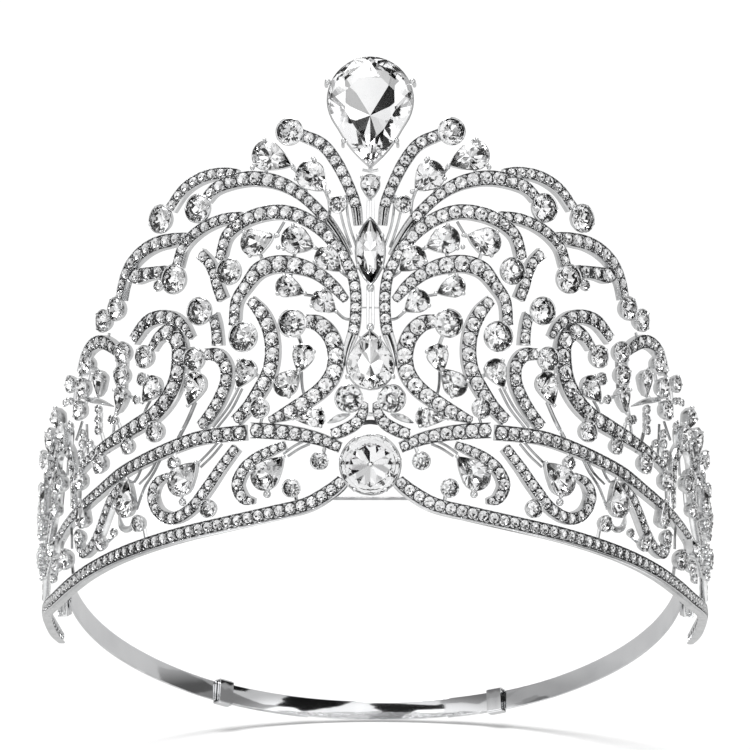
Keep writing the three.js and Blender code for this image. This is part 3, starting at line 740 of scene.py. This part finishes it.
# Wires: ((along, up) points, wire radius).
WIRES = [
    ([(12.2, 1.2), (14.3, 0.3), (16.7, -1.2)], 0.27), ([(13, 1.9), (15.2, 0.9), (17.6, -0.7)], 0.27),
    ([(31, 1.2), (33.3, -1.2), (36, -3.4)], 0.27), ([(31.9, 1.6), (34.2, -0.6), (36.8, -2.8)], 0.27),
    ([(46.2, -1.6), (48.2, -4.6), (50.8, -7.6), (53.2, -12.2)], 0.3),
    ([(47.3, -1.9), (49.3, -4.6), (52.4, -7)], 0.27), ([(26.5, 12.2), (28.8, 8.2), (32.2, 4.4)], 0.27),
    ([(27.3, 12.4), (29.7, 8.5), (33.1, 4.6)], 0.27), ([(37.4, 9.6), (39.3, 6), (41.6, 2.4)], 0.42),
    ([(59.8, 20.2), (59.6, 16.2), (59.8, 11.4)], 0.36), ([(2.9, 40.2), (4.3, 44.6), (5, 50.2)], 0.27),
    ([(3.9, 39.8), (5.4, 44.2), (6.1, 47)], 0.27), ([(13.4, 30.6), (10.4, 30.4), (8.2, 32)], 0.3),
    ([(6.9, 27.2), (5.2, 25.8), (4.2, 25.6)], 0.3), ([(5.9, 35), (4.8, 34.2), (3.9, 33.6)], 0.3),
    ([(13.9, 15.4), (13.8, 12.8), (13.4, 10.8)], 0.3), ([(14.2, 15.4), (12.8, 16.8), (12.4, 17.2)], 0.3),
    ([(11.3, 39.8), (9.8, 39.4), (7.6, 39.2)], 0.3), ([(19.6, 42.1), (18.6, 43.6), (17.6, 45.2)], 0.3),
    ([(16, 56.2), (14.2, 53.8), (12.8, 50.6)], 0.3), ([(9.2, 51.2), (8.4, 49), (8.2, 46.4)], 0.3),
    ([(49.4, 10.1), (50.6, 8.6), (51.4, 6.6)], 0.3), ([(57.6, 11.8), (59.8, 9.4), (61.2, 3.4)], 0.3),
    ([(72, 5.6), (71.6, 1.4), (71.2, -1.4)], 0.3), ([(54, -6.6), (53, -5.6), (52, -4)], 0.3),
    ([(68.4, -11.2), (67.8, -10.4), (67.4, -10.2)], 0.3),
    ([(79, -21.6), (79.2, -18.6), (79.6, -16.6)], 0.3), ([(82.4, -5.6), (82, -2.8), (82.2, -0.4)], 0.3),
    ([(86.4, 1.4), (86.2, 0.8), (86, 0.4)], 0.3), ([(77.2, 2.2), (75.6, 4.2), (74.2, 6.2)], 0.3),
    ([(77.6, 7.8), (76.2, 9.6), (75.8, 12.4)], 0.3), ([(84.6, -19.9), (84.4, -18.6), (84.6, -18.2)], 0.3),
    ([(93, -6), (92.4, -8.4), (91.4, -10)], 0.3), ([(101.6, -14.6), (102.6, -18.4), (104, -24.6)], 0.3),
    ([(97, -14.4), (98, -18.8), (98.6, -26.8)], 0.3), ([(62.8, -0.6), (62.6, 0.6), (62.4, 1.4)], 0.3),
    ([(63, 24.8), (63.4, 23.6), (63.6, 22.8)], 0.3), ([(22.1, 6.4), (22.4, 5.6), (22.6, 4.8)], 0.3),
]

# Plain leaves, thick in the middle and pointed at both ends: ((along, up) points, half thickness).
LEAVES = [
    ([(53.4, -14.6), (55.2, -16.3), (57.6, -16.1), (58.9, -13.4)], 0.75),
    ([(61, 9.2), (66.4, 10.4), (70.6, 10.8), (75, 11.8)], 0.7), ([(4, 7), (6, 6.4), (8.6, 5.3)], 0.75),
    ([(81.4, 6.6), (79.6, 4.2), (79.2, 0.8)], 0.6), ([(88.2, 5), (86.6, 2.6), (86.4, -0.6)], 0.6),
]

# A leaf swells from its ends: shares of its length and of its half thickness.
LEAF_TAPER = ((0, 0.25, 0.5, 0.8, 1), (0.2, 0.8, 1, 0.7, 0.15))

# Chains of single small stones in cups: (along, up, radius).
CHAINS = [
    (65.6, 8.6, 1.05), (65.6, 6.4, 1.05), (65.6, 4.2, 1.05), (72.2, 3.5, 1.05), (72.4, 1.3, 1.1),
    (73.2, -1, 1.1), (78.1, 10.7, 0.85), (80, 10.8, 0.85), (81.9, 10.4, 0.85), (89, -26.2, 1.2),
    (90, -28.8, 1.2), (60.6, 6.4, 1), (68.9, 1.4, 1), (78.6, 5.4, 0.9), (95.6, 1.2, 1.3), (46.6, 33.6, 1.2),
    (52.6, 10.4, 1), (95.4, -24.6, 1), (96.4, -8.6, 1.2),
]


# ---------- build: rails and scrolls ----------
blockers = Blockers()
for along, up, radius in ROUNDS:
    blockers.add((along, up), radius)
for up, radius in ((TOP_PEAR_UP, 8.4), (MARQUISE_UP, 2.8), (LOWER_PEAR_UP - 1.5, 4.7), (RIVOLI_UP, 6.7)):
    blockers.add((0, up), radius)


def add_channel(metal, stones, points, inset=STONE_INSET, gap=STONE_GAP, trim=True, tail=0):
    """A set channel along a ribbon, stopped where it meets what is already placed."""
    curve = smooth_curve(points, CHANNEL_STEP)
    if tail:
        bare = int(round(tail / CHANNEL_STEP))
        swept(metal, trimmed(curve[: bare + 1], blockers), tail_profile)
        curve = curve[bare:]
    if trim:
        curve = trimmed(curve, blockers)
    if len(curve) < 4:
        return
    swept(metal, curve, channel_profile)
    bed = trimmed(curve, blockers, -0.02) if trim else curve
    if len(bed) > 2:
        set_stones(metal, stones, bed, inset, gap)
    spots = smooth_curve(curve, 0.5)
    blockers.add(spots[:, :2], spots[:, 2] / 2)


def metal_and_stones(metal_name, stones_name):
    """Two empty pieces: silver, and the stones set in it."""
    return Piece(metal_name, METALS, "cast_silver"), Piece(stones_name, GEMS, "crystal")


def add_base_rail():
    metal, stones = metal_and_stones("base_rail_channel", "base_rail_pave")
    curve = smooth_curve(BASE_RAIL, CHANNEL_STEP)
    curve = curve[np.hypot(curve[:, 0], curve[:, 1] - RIVOLI_UP) > RIVOLI_RADIUS + RIVOLI_GAP]
    add_channel(metal, stones, curve, RAIL_INSET, RAIL_GAP, trim=False)
    swept(metal, curve, lip_profile)
    build_pair(metal, ["base_rail_right"], ["base_rail_left"])
    build_pair(stones)


def add_scroll(name, ribbons):
    metal, stones = metal_and_stones(name + "_channel", name + "_pave")
    inset = RAIL_INSET if name.startswith("upper_rail") else STONE_INSET
    for number, points in enumerate(ribbons):
        add_channel(metal, stones, points, inset, tail=TAILS.get(name, (0, 0))[number])
    nodes = () if name in ONLY_HERE else ([name + "_right"], [name + "_left"])
    build_pair(metal, *nodes)
    build_pair(stones)


add_base_rail()
for scroll_name, scroll_ribbons in RIBBONS.items():
    add_scroll(scroll_name, scroll_ribbons)


# ---------- build: round accents ----------
def add_cup(metal, stones, along, up, radius, rim, claws):
    """A tapered cup with a faceted round stone held by small claws; its inside is painted dark, as shade."""
    thickness = min(0.3, radius * 0.16)
    inner = radius - thickness
    deep = min(2.3, radius * 1.1)
    # The last three rows, the cup's inside, are painted shade.
    revolve(metal, along, up, [
        (radius * 0.4, rim - deep), (radius * 0.6, rim - deep * 0.98), (radius * 0.76, rim - deep * 0.8),
        (radius * 0.94, rim - deep * 0.45), (radius, rim - deep * 0.2), (radius, rim - 0.1),
        (radius - thickness * 0.5, rim), (inner, rim - 0.08), (inner - 0.05, rim - 0.3),
        (inner * 0.5, rim - deep * 0.72),
    ], mats=[CAST_AT] * 7 + [PAINTED_SHADE_AT] * 3)
    add_round(stones, along, up, rim - 0.22, inner - 0.02)
    start = rng.uniform(0, math.pi)
    for x, y in circle(inner, claws, start):
        add_ball(metal, along + x, up + y, rim + 0.02, min(0.32, radius * 0.15), BEAD)


def add_cups(word, rows, rim_of, claws):
    cups, stones = metal_and_stones(word + "_cups", word + "_stones")
    for along, up, radius in rows:
        add_cup(cups, stones, along, up, radius, rim_of(radius), claws)
    build_pair(cups)
    build_pair(stones)


add_cups("round", ROUNDS, lambda radius: CUP_RIM if radius > 1.5 else SMALL_CUP_RIM, 4)
add_cups("chain", CHAINS, lambda radius: CHAIN_CUP_RIM, 3)


# ---------- build: pear accents ----------
def pear_outline(radius, reach, count):
    """A pear with its round end's centre at 0 and its tip at (0, -reach); count is even."""
    lean = math.asin(min(radius / reach, 0.98))
    arc = (math.pi + 2 * lean) * radius
    straight = math.sqrt(max(reach**2 - radius**2, 0.01))
    total = arc + 2 * straight

    def flank(share, side):
        """A point of a slightly bulging flank, a share of the way from the tip to the round end."""
        bulge = 0.07 * radius * math.sin(math.pi * share)
        x = (share * radius + bulge) * math.cos(lean)
        return side * x, -reach + share * (reach - radius * math.sin(lean)) - bulge * math.sin(lean)

    points = []
    for at in total * np.arange(count) / count:
        if at < straight:
            points.append(flank(at / straight, 1))
        elif at < straight + arc:
            a = -lean + (at - straight) / radius
            points.append((radius * math.cos(a), radius * math.sin(a)))
        else:
            points.append(flank((total - at) / straight, -1))
    return np.array(points)


def add_pear(metal, stones, along, up, radius, tip_along, tip_up):
    """A pear stone in a prong basket, turned so that its tip points where the row says."""
    radius *= PEAR_SCALE
    reach = max(math.hypot(tip_along - along, tip_up - up) * PEAR_SCALE, radius * 1.25)
    turn = math.atan2(tip_up - up, tip_along - along) + math.pi / 2
    outline_of = lambda grow: pear_outline(radius + grow, reach + grow * 1.8, 24)
    verts = gem_points(outline_of(-0.12), (0, -0.12 * reach), 0.52, radius * 0.38, radius * 0.78)
    tilt = rng.uniform(-0.04, 0.04, 2)
    stones.add(placed(verts, along, up, PEAR_GIRDLE, turn, tilt), *gem_faces(12), smooth=False)
    # The basket's two inner rows are painted dark, as shade.
    add_wall(metal, along, up, outline_of, [
        (-0.75 * radius, 79.5), (-0.45 * radius, 79.4), (-0.2, 80.3), (0.02, 81.4), (0.04, 81.82),
        (-0.08, 81.9), (-0.16, 81.5), (-0.6 * radius, 80.2),
    ], [CAST_AT] * 6 + [PAINTED_SHADE_AT] * 2, turn)
    c, s = math.cos(turn), math.sin(turn)
    claws = [(radius * math.cos(a), radius * math.sin(a)) for a in (0.5, math.pi - 0.5)]
    for x, y in [*claws, (0, -reach)]:
        add_ball(metal, along + x * c - y * s, up + x * s + y * c, PEAR_GIRDLE + 0.1, 0.42, squash=1.3)


def add_pears():
    baskets, stones = metal_and_stones("pear_baskets", "pear_stones")
    for row in PEARS:
        add_pear(baskets, stones, *row)
    for along, up, size in BALLS:
        add_ball(baskets, along, up, BALL_AT, size)
    build_pair(baskets)
    build_pair(stones)


def add_wires():
    wires = Piece("link_wires", METALS, "cast_silver")
    for points, radius in WIRES:
        tube(wires, points, radius, mat=DRAWN_AT)
    for points, radius in LEAVES:
        tube(wires, points, radius, LEAF_AT, taper=LEAF_TAPER)
    build_pair(wires)


def add_links():
    """Short soldered bars that tie every accent to the nearest scroll, or to an accent already tied."""
    bars = Piece("solder_bars", METALS, "cast_silver")
    centres, radii = blockers.centres[len(ROUNDS):], blockers.radii[len(ROUNDS):]
    waiting = [*ROUNDS, *CHAINS, *(pear[:3] for pear in PEARS)]
    while waiting:
        options = []
        for index, (along, up, radius) in enumerate(waiting):
            gaps = np.hypot(centres[:, 0] - along, centres[:, 1] - up) - radii - radius
            nearest = int(np.argmin(gaps))
            options.append((float(gaps[nearest]), index, nearest))
        gap, index, nearest = min(options)
        along, up, radius = waiting.pop(index)
        start, end = np.array([along, up]), centres[nearest]
        way = (end - start) / max(np.linalg.norm(end - start), 0.01)
        if gap > -0.3:
            ends = [start + way * radius * 0.55, end - way * radii[nearest] * 0.45]
            tube(bars, ends, 0.4, BAR_AT, sides=6)
        centres, radii = np.vstack([centres, start]), np.append(radii, radius)
    build_pair(bars)


add_pears()
add_wires()
add_links()


# ---------- build: centre stones ----------
def upright_stone(name, up, verts, faces, mats):
    """A large stone on the centre line; its points are (across, upward, radius)."""
    piece = Piece(name + "_crystal", GEMS, "crystal", replaces=[name + "_stone"])
    piece.add(placed(verts, 0, up, 0), faces, mats, smooth=False, closed=True)
    piece.build()


def faceted_stone(name, up, outline, middle, heights, levels, table):
    """A centre stone: its front facets rise from the girdle to the table, its back ones meet in a point."""
    girdle, front, back = heights
    verts = gem_points(outline, (0, middle), table, front - girdle, girdle - back, *levels, fine=2)
    verts[:, 2] += girdle
    upright_stone(name, up, verts, *gem_faces(len(outline) // 4, fine=2))


def add_rivoli():
    """A pointed round stone: long facets from a centre point, a narrow girdle belt, foil behind."""
    count = 24
    outline = circle(RIVOLI_RADIUS, count, math.pi / 2)
    verts = [(*point, 82.6) for point in outline]
    verts += [(*point, 83.6) for point in outline * 0.86]
    verts += [(0, 0, 84.5), (0, 0, 80.0)]
    faces, mats = [], []
    for i in range(count):
        n = (i + 1) % count
        faces += [(i, n, count + n), (i, count + n, count + i)] if i % 2 else [
            (i, n, count + i), (n, count + n, count + i)]
        mats += [0, 0]
    for i in range(0, count, 2):
        faces.append((count + i, count + (i + 1) % count, count + (i + 2) % count, 2 * count))
        faces.append((i, 2 * count + 1, (i + 2) % count, (i + 1) % count))
        mats += [0, 1]
    upright_stone("rivoli", RIVOLI_UP, verts, faces, mats)


def add_claw(piece, x, y, up, tip, size):
    """A prong that rises beside the stone and ends in a ball bent over its edge."""
    steps = np.linspace(0, 1, 7)[:, None]
    bend = 1 - 0.05 * steps**3
    centres = np.hstack([x * bend, y * bend, CLAW_FOOT + (tip - CLAW_FOOT) * steps])
    section = np.insert(circle(size * 0.62, 8), 2, 0, axis=1)
    verts = (centres[:, None] + section).reshape(-1, 3)
    piece.add(placed(verts, 0, up, 0), grid_faces(7, 8), closed=True)
    verts, faces = BALL
    piece.add(verts * size + placed(centres[-1:], 0, up, 0), faces, BRIGHT_AT)


def upright_setting(name, up, outline_of, levels, prongs, in_cad=True):
    """A centre collet: a wall round the stone, and prongs (across, upward, tip radius, tip size)."""
    piece = Piece(name + "_setting", METALS, "cast_silver", replaces=[name + "_collet"] if in_cad else ())
    add_wall(piece, 0, up, outline_of, levels)
    for x, y, tip, size in prongs:
        add_claw(piece, x, y, up, tip, size)
    piece.build()


def collet_levels(rim):
    """A collet's wall from its foot to its rim: rows of (grow, radius)."""
    return [
        (-0.9, COLLET_FOOT), (-0.3, COLLET_FOOT), (0, COLLET_FOOT + 0.5), (0.25, rim - 0.6),
        (0.28, rim - 0.1), (0.16, rim), (0.06, rim - 0.15), (-0.3, rim - 0.9),
    ]


def both_sides(*prongs):
    """Right-hand prongs, each with its mirror image."""
    return [(side * x, *rest) for x, *rest in prongs for side in (1, -1)]


def marquise_outline(half_width, half_height, count):
    radius = (half_height**2 + half_width**2) / (2 * half_width)
    half = math.asin(min(half_height / radius, 1))
    a = np.linspace(-half, half, count // 2 + 1)[:-1]
    right = np.column_stack([half_width - radius + radius * np.cos(a), radius * np.sin(a)])
    return np.vstack([right, -right])


def pear_at_middle(half_width, height, count, tip_up=False):
    """A pear centred on its own height, tip down unless tip_up."""
    outline = pear_outline(half_width, height - half_width, count)
    outline[:, 1] += height / 2 - half_width
    return -outline if tip_up else outline


def add_centre_stones():
    faceted_stone(
        "top_pear", TOP_PEAR_UP, pear_at_middle(8.3, 21.6, 36), -0.9, (83.0, 86.1, 81.3), (0.88, 0.46), 0.62)
    faceted_stone(
        "upper_pear", UPPER_PEAR_UP, pear_at_middle(1.8, 4.6, 24), 0.3, (81.6, 82.35, 81.1), (0.8, 0.42), 0.5)
    faceted_stone(
        "marquise", MARQUISE_UP, marquise_outline(2.65, 6.3, 24), 0, (82.0, 83.3, 81.3), (0.84, 0.4), 0.5)
    faceted_stone(
        "lower_pear", LOWER_PEAR_UP, pear_at_middle(4.5, 11.2, 32, True), -0.9, (82.2, 84.1, 81.1),
        (0.84, 0.42), 0.55)
    upright_setting(
        "top_pear", TOP_PEAR_UP, lambda g: pear_at_middle(8.3 + g, 21.6 + 2.2 * g, 48), collet_levels(81.8),
        both_sides((8.7, 5.7, 84.4, 0.62), (5.4, -6.4, 84, 0.55)) + [(0, -10.9, 83.6, 0.7)])
    upright_setting(
        "upper_pear", UPPER_PEAR_UP, lambda g: pear_at_middle(1.7 + g, 4.4 + 2.6 * g, 24),
        [(-0.3, 79.6), (0.15, 79.6), (0.3, 80.0), (0.3, 81.2), (0.12, 81.5), (0.0, 81.3)],
        both_sides((1.75, 1.8, 82.2, 0.36)), in_cad=False)
    upright_setting(
        "marquise", MARQUISE_UP, lambda g: marquise_outline(2.8 + g, 6.3 + 2 * g, 32), collet_levels(81.6),
        both_sides((2.5, 3.2, 82.4, 0.4), (2.5, -3.2, 82.4, 0.4)))
    upright_setting(
        "lower_pear", LOWER_PEAR_UP, lambda g: pear_at_middle(4.5 + g, 11.2 + 2.6 * g, 40, True),
        collet_levels(81.8), both_sides((4.6, -3.4, 83.0, 0.5), (1.8, 4.6, 82.8, 0.45)))
    add_rivoli()
    angles = map(math.radians, (10, 62, 118, 170, 238, 302))
    upright_setting(
        "rivoli", RIVOLI_UP, lambda g: circle(RIVOLI_RADIUS + g, 48, math.pi / 2), collet_levels(82.0),
        [(6.0 * math.cos(a), 6.0 * math.sin(a), 83.4, 0.42) for a in angles])


add_centre_stones()


# ---------- build: middle stem, bars and straight wire ----------
def add_stem():
    piece = Piece("centre_stem", METALS, "cast_silver")
    for side in (-1, 1):
        tube(piece, [(side * 0.55, 24.4), (side * 0.5, 28), (side * 0.5, 31.6)], 0.32, STEM_AT)
    add_ball(piece, 0, 24.0, 80.6, 0.8)
    add_ball(piece, 0, 31.8, 80.6, 0.85)
    for side in (-1, 1):
        tube(piece, [(side * 0.55, 45.4), (side * 0.5, 47.6), (side * 0.4, 49.8)], 0.3, STEM_AT)
    add_ball(piece, 0, 49.9, 80.8, 0.6)
    # The third bar is painted dark in the painted-shade silver, as shade.
    for half, ends_up, middle_up, radius, at, mat in (
        (2.6, 27.9, 27.9, 0.2, 79.8, CAST_AT), (1.3, 7.1, 7.0, 0.42, 80.0, CAST_AT),
        (1.6, 5.3, 5.5, 0.45, 79.8, PAINTED_SHADE_AT), (1.6, 55.2, 54.9, 0.3, 80.0, CAST_AT),
    ):
        tube(piece, [(-half, ends_up), (0, middle_up), (half, ends_up)], radius, at, mat=mat)
    piece.build()


def add_cross_wire():
    """The thin straight wire behind the round centre stone, with rounded ends."""
    piece = Piece("straight_wire", METALS, "cast_silver", replaces=["cross_wire"])
    half, radius, sides = 9.5, 0.35, 12
    stations = [(-half, 0.2), (-half + 0.12, 0.33)]
    stations += [(x, radius) for x in np.linspace(-half + 0.4, half - 0.4, 9)]
    stations += [(half - 0.12, 0.33), (half, 0.2)]
    verts = [(x, y - 77.1, z - 9.5 + DATUM_HEIGHT) for x, r in stations for y, z in circle(r, sides)]
    piece.add(verts, grid_faces(len(stations), sides), DRAWN_AT, closed=True)
    piece.build()


add_stem()
add_cross_wire()


# ---------- build: back band ----------
def band_world(x, y, n):
    """A point of the sloping head plane, n above it."""
    c, s = math.cos(BAND_SLOPE), math.sin(BAND_SLOPE)
    return np.stack([x, y * c + n * s, -y * s + n * c], -1)


def back_arc(angle, offset):
    turn = np.radians(angle)
    return (BACK_RADIUS + offset) * np.sin(turn), BACK_CENTRE + (BACK_RADIUS + offset) * np.cos(turn)


def side_arc(angle, offset):
    join = math.radians(BACK_HALF_ANGLE)
    cx = (BACK_RADIUS - SIDE_RADIUS) * math.sin(join)
    cy = BACK_CENTRE + (BACK_RADIUS - SIDE_RADIUS) * math.cos(join)
    turn = np.radians(angle)
    return cx + (SIDE_RADIUS + offset) * np.cos(turn), cy + (SIDE_RADIUS + offset) * np.sin(turn)


def rounded_section(low, high, half_height, radius, per_corner=4):
    """Corners (offset, height) of a rounded rectangle, counter-clockwise."""
    points = []
    corners = [
        (high - radius, half_height - radius, 0), (low + radius, half_height - radius, 90),
        (low + radius, -half_height + radius, 180), (high - radius, -half_height + radius, 270),
    ]
    for cx, cy, start in corners:
        for i in range(per_corner):
            a = math.radians(start + 90 * i / (per_corner - 1))
            points.append((cx + radius * math.cos(a), cy + radius * math.sin(a)))
    return points


def band_strip(name, stations, section, replaces, body):
    """Sweeps a section along stations [(point function, angle)] in the head plane."""
    piece = Piece(name, [BAND], "polished_band", body, replaces)
    verts = [band_world(*arc(angle, o), n) for arc, angle in stations for o, n in section]
    piece.add(verts, grid_faces(len(stations), len(section)), closed=True)
    return piece


def add_band():
    half, edge = BAND_HEIGHT / 2, 0.22
    section = rounded_section(0, BAND_THICKNESS, half, edge)
    stations = [(side_arc, a) for a in np.arange(SIDE_END_ANGLE, 90 - BACK_HALF_ANGLE, 0.6)]
    stations += [(back_arc, a) for a in np.arange(BACK_HALF_ANGLE, STRIP_TIP_ANGLE - 0.01, -0.8)]
    right = band_strip("side_band_right", stations, section, ["side_strip_right"], "crown")
    right.build(BAND_SHARP_ANGLE)
    right.mirrored("side_band_left", ["side_strip_left"]).build(BAND_SHARP_ANGLE)
    inner = rounded_section(-CLEARANCE - BAND_THICKNESS, -CLEARANCE, half, edge)
    span = np.arange(-LEFT_SLEEVE - SLEEVE_LENGTH / 2, RIGHT_SLEEVE + SLEEVE_LENGTH / 2 + 0.01, 0.8)
    middle = band_strip("middle_band", [(back_arc, a) for a in span], inner, ["middle_strip"], "adjuster")
    middle.build(BAND_SHARP_ANGLE)


def add_sleeve(name, centre, node):
    """A strip folded round both bands: a thin rounded loop with a lapped seam on its outside."""
    play, wall_thickness, end_ease = 0.25, 0.5, 0.984
    low, high = -CLEARANCE - BAND_THICKNESS - play, BAND_THICKNESS + play
    half = BAND_HEIGHT / 2 + 0.28
    outer = rounded_section(low - wall_thickness, high + wall_thickness, half + wall_thickness, 0.6, 5)
    inner = rounded_section(low, high, half, 0.2, 5)
    piece = Piece(name, [BAND, CAST], "polished_band", "adjuster", [node])
    angles = np.linspace(centre - SLEEVE_LENGTH / 2, centre + SLEEVE_LENGTH / 2, 7)
    ease = [end_ease, 1, 1, 1, 1, 1, end_ease]
    verts = []
    for (o, n), (o_inner, n_inner) in zip(outer, inner):
        verts += [band_world(*back_arc(angle, o * e), n * e) for angle, e in zip(angles, ease)]
        verts += [band_world(*back_arc(angle, o_inner), n_inner) for angle in angles[::-1]]
    piece.add(verts, grid_faces(len(outer), 2 * len(angles), ring=True), 0, closed=True)
    lap = rounded_section(high + 0.42, high + 0.72, 1.1, 0.12, 3)
    verts = [band_world(*back_arc(angle, o), n + 0.6) for angle in angles[1:-1] for o, n in lap]
    piece.add(verts, grid_faces(len(angles) - 2, len(lap)), 1, closed=True)
    piece.build(BAND_SHARP_ANGLE)


def add_bracket(word, side):
    """A small soldered U bracket between a side strip and the crown's end."""
    inner_x = side_arc(0, BAND_THICKNESS)[0] + CLEARANCE
    outer_x = WALL_INNER - CLEARANCE - 0.2
    thick, half, length, middle_y, middle_z, edge = 0.9, 2.2, 5.0, -1.5, -1.6, 0.16
    outline = [
        (inner_x, half), (inner_x, -half), (outer_x, -half), (outer_x, half), (outer_x - thick, half),
        (outer_x - thick, thick - half), (inner_x + thick, thick - half), (inner_x + thick, half),
    ]
    bm = bmesh.new()
    corners = [
        bm.verts.new(Vector((side * x, y, z + middle_z)) * MM)
        for y in (middle_y - length / 2, middle_y + length / 2)
        for x, z in outline
    ]
    for face in grid_faces(2, len(outline)):
        bm.faces.new([corners[i] for i in face])
    bmesh.ops.recalc_face_normals(bm, faces=bm.faces)
    bmesh.ops.bevel(bm, geom=bm.edges[:], offset=edge * MM, segments=3, affect="EDGES", profile=0.5)
    for face in bm.faces:
        face.smooth = True
    mesh = bpy.data.meshes.new("bracket_" + word)
    bm.to_mesh(mesh)
    bm.free()
    mesh.materials.append(CAST)
    obj = bpy.data.objects.new("bracket_" + word, mesh)
    bpy.context.scene.collection.objects.link(obj)
    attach(obj, "crown")
    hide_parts("end_bracket_" + word)


add_band()
add_sleeve("folded_sleeve_left", -LEFT_SLEEVE, "sleeve_left")
add_sleeve("folded_sleeve_right", RIGHT_SLEEVE, "sleeve_right")
add_bracket("right", 1)
add_bracket("left", -1)


# ---------- floor ----------
def add_floor():
    bm = bmesh.new()
    bmesh.ops.create_circle(bm, cap_ends=True, segments=96, radius=6.0)
    mesh = bpy.data.meshes.new("floor")
    bm.to_mesh(mesh)
    bm.free()
    floor = bpy.data.objects.new("floor", mesh)
    floor.location.z = -44.6 * MM
    bpy.context.scene.collection.objects.link(floor)
    mat, tree, shader = new_material("floor_paper", Roughness=0.9, Specular_IOR_Level=0.1)
    tone = ramp(tree, noise(tree, 8.0, 2.0), [(0.3, 0.93), (0.7, 0.95)])
    tree.links.new(tone, shader.inputs["Base Color"])
    mesh.materials.append(mat)
    floor.visible_glossy = False
    floor.visible_transmission = False


add_floor()


# ---------- light ----------
def add_sun(name, rotation, strength, angle):
    light = bpy.data.lights.new(name, "SUN")
    light.energy, light.angle = strength, angle
    obj = bpy.data.objects.new(name, light)
    obj.rotation_euler = rotation
    bpy.context.scene.collection.objects.link(obj)


def map_range(tree, source, start, end, low, high, smooth=True):
    """Maps a value from start..end to low..high, held at both ends."""
    node = tree.nodes.new("ShaderNodeMapRange")
    node.interpolation_type = "SMOOTHSTEP" if smooth else "LINEAR"
    for socket, value in (("From Min", start), ("From Max", end), ("To Min", low), ("To Max", high)):
        node.inputs[socket].default_value = value
    tree.links.new(source, node.inputs["Value"])
    return node.outputs["Result"]


def mix_colours(tree, factor, first, second, blend="MIX"):
    """Mixes two colours; each input is a socket or a plain value."""
    node = tree.nodes.new("ShaderNodeMix")
    node.data_type, node.blend_type = "RGBA", blend
    for number, value in ((0, factor), (6, first), (7, second)):
        if isinstance(value, bpy.types.NodeSocket):
            tree.links.new(value, node.inputs[number])
        else:
            node.inputs[number].default_value = value
    return node.outputs[2]


def add_world():
    """A white room seen by the camera; reflections see soft boxes and dark cards round the object."""
    world = bpy.data.worlds.new("studio")
    bpy.context.scene.world = world
    world.use_nodes = True
    tree = world.node_tree
    nodes, links = tree.nodes, tree.links
    nodes.clear()
    coords = nodes.new("ShaderNodeTexCoord")
    cells = nodes.new("ShaderNodeTexVoronoi")
    cells.distance = "CHEBYCHEV"
    cells.inputs["Scale"].default_value = 2.3
    links.new(coords.outputs["Generated"], cells.inputs["Vector"])
    grey = nodes.new("ShaderNodeSeparateColor")
    links.new(cells.outputs["Color"], grey.inputs["Color"])
    patches = ramp(tree, grey.outputs["Red"], [
        (0.0, 0.0), (0.15, 0.02), (0.19, 0.45), (0.4, 0.85), (0.7, 1.1), (1.0, 1.6),
    ])
    split = nodes.new("ShaderNodeSeparateXYZ")
    links.new(coords.outputs["Generated"], split.inputs["Vector"])
    # Darker at the sides, overhead and below, which outlines every rounded edge, but the white table
    # keeps the lower part bright.
    strongest = nodes.new("ShaderNodeMath")
    strongest.operation = "MAXIMUM"
    links.new(map_range(tree, split.outputs["Y"], -0.62, -0.2, 1.0, 0.38), strongest.inputs[0])
    links.new(map_range(tree, split.outputs["Z"], -0.55, -0.05, 0.75, 0.0), strongest.inputs[1])
    shaded = mix_colours(tree, 1.0, patches, strongest.outputs[0], "MULTIPLY")
    # Behind the object the room is evenly light grey.
    behind = map_range(tree, split.outputs["Y"], 0.2, 0.6, 0.0, 1.0, smooth=False)
    studio = nodes.new("ShaderNodeBackground")
    links.new(mix_colours(tree, behind, shaded, (0.62, 0.62, 0.62, 1)), studio.inputs["Color"])
    plain = nodes.new("ShaderNodeBackground")
    plain.inputs["Color"].default_value = (1, 1, 1, 1)
    plain.inputs["Strength"].default_value = 1.05
    rays = nodes.new("ShaderNodeLightPath")
    choose = nodes.new("ShaderNodeMixShader")
    links.new(rays.outputs["Is Camera Ray"], choose.inputs["Fac"])
    links.new(studio.outputs[0], choose.inputs[1])
    links.new(plain.outputs[0], choose.inputs[2])
    output = nodes.new("ShaderNodeOutputWorld")
    links.new(choose.outputs[0], output.inputs["Surface"])


add_world()
add_sun("overhead_light", (math.radians(8), math.radians(-10), 0), 2.3, math.radians(35))

# ---------- camera ----------
CAMERA_DISTANCE = 0.360
CAMERA_HEIGHT = 0.0373
CAMERA_PITCH = math.radians(3.0)
CAMERA_ORBIT = 0.0112
CAMERA_LENS = 68.78
camera_data = bpy.data.cameras.new("camera")
camera_data.sensor_width = 36.0
camera_data.lens = CAMERA_LENS
camera_data.clip_start, camera_data.clip_end = 0.01, 50.0
camera = bpy.data.objects.new("camera", camera_data)
orbit = Matrix.Rotation(CAMERA_ORBIT, 4, "Z")
camera.matrix_world = (
    orbit
    @ Matrix.Translation((0, -CAMERA_DISTANCE, CAMERA_HEIGHT))
    @ Matrix.Rotation(math.pi / 2 + CAMERA_PITCH, 4, "X")
)
bpy.context.scene.collection.objects.link(camera)
bpy.context.scene.camera = camera
bpy.context.scene.view_settings.view_transform = "Standard"

bpy.context.view_layer.update()
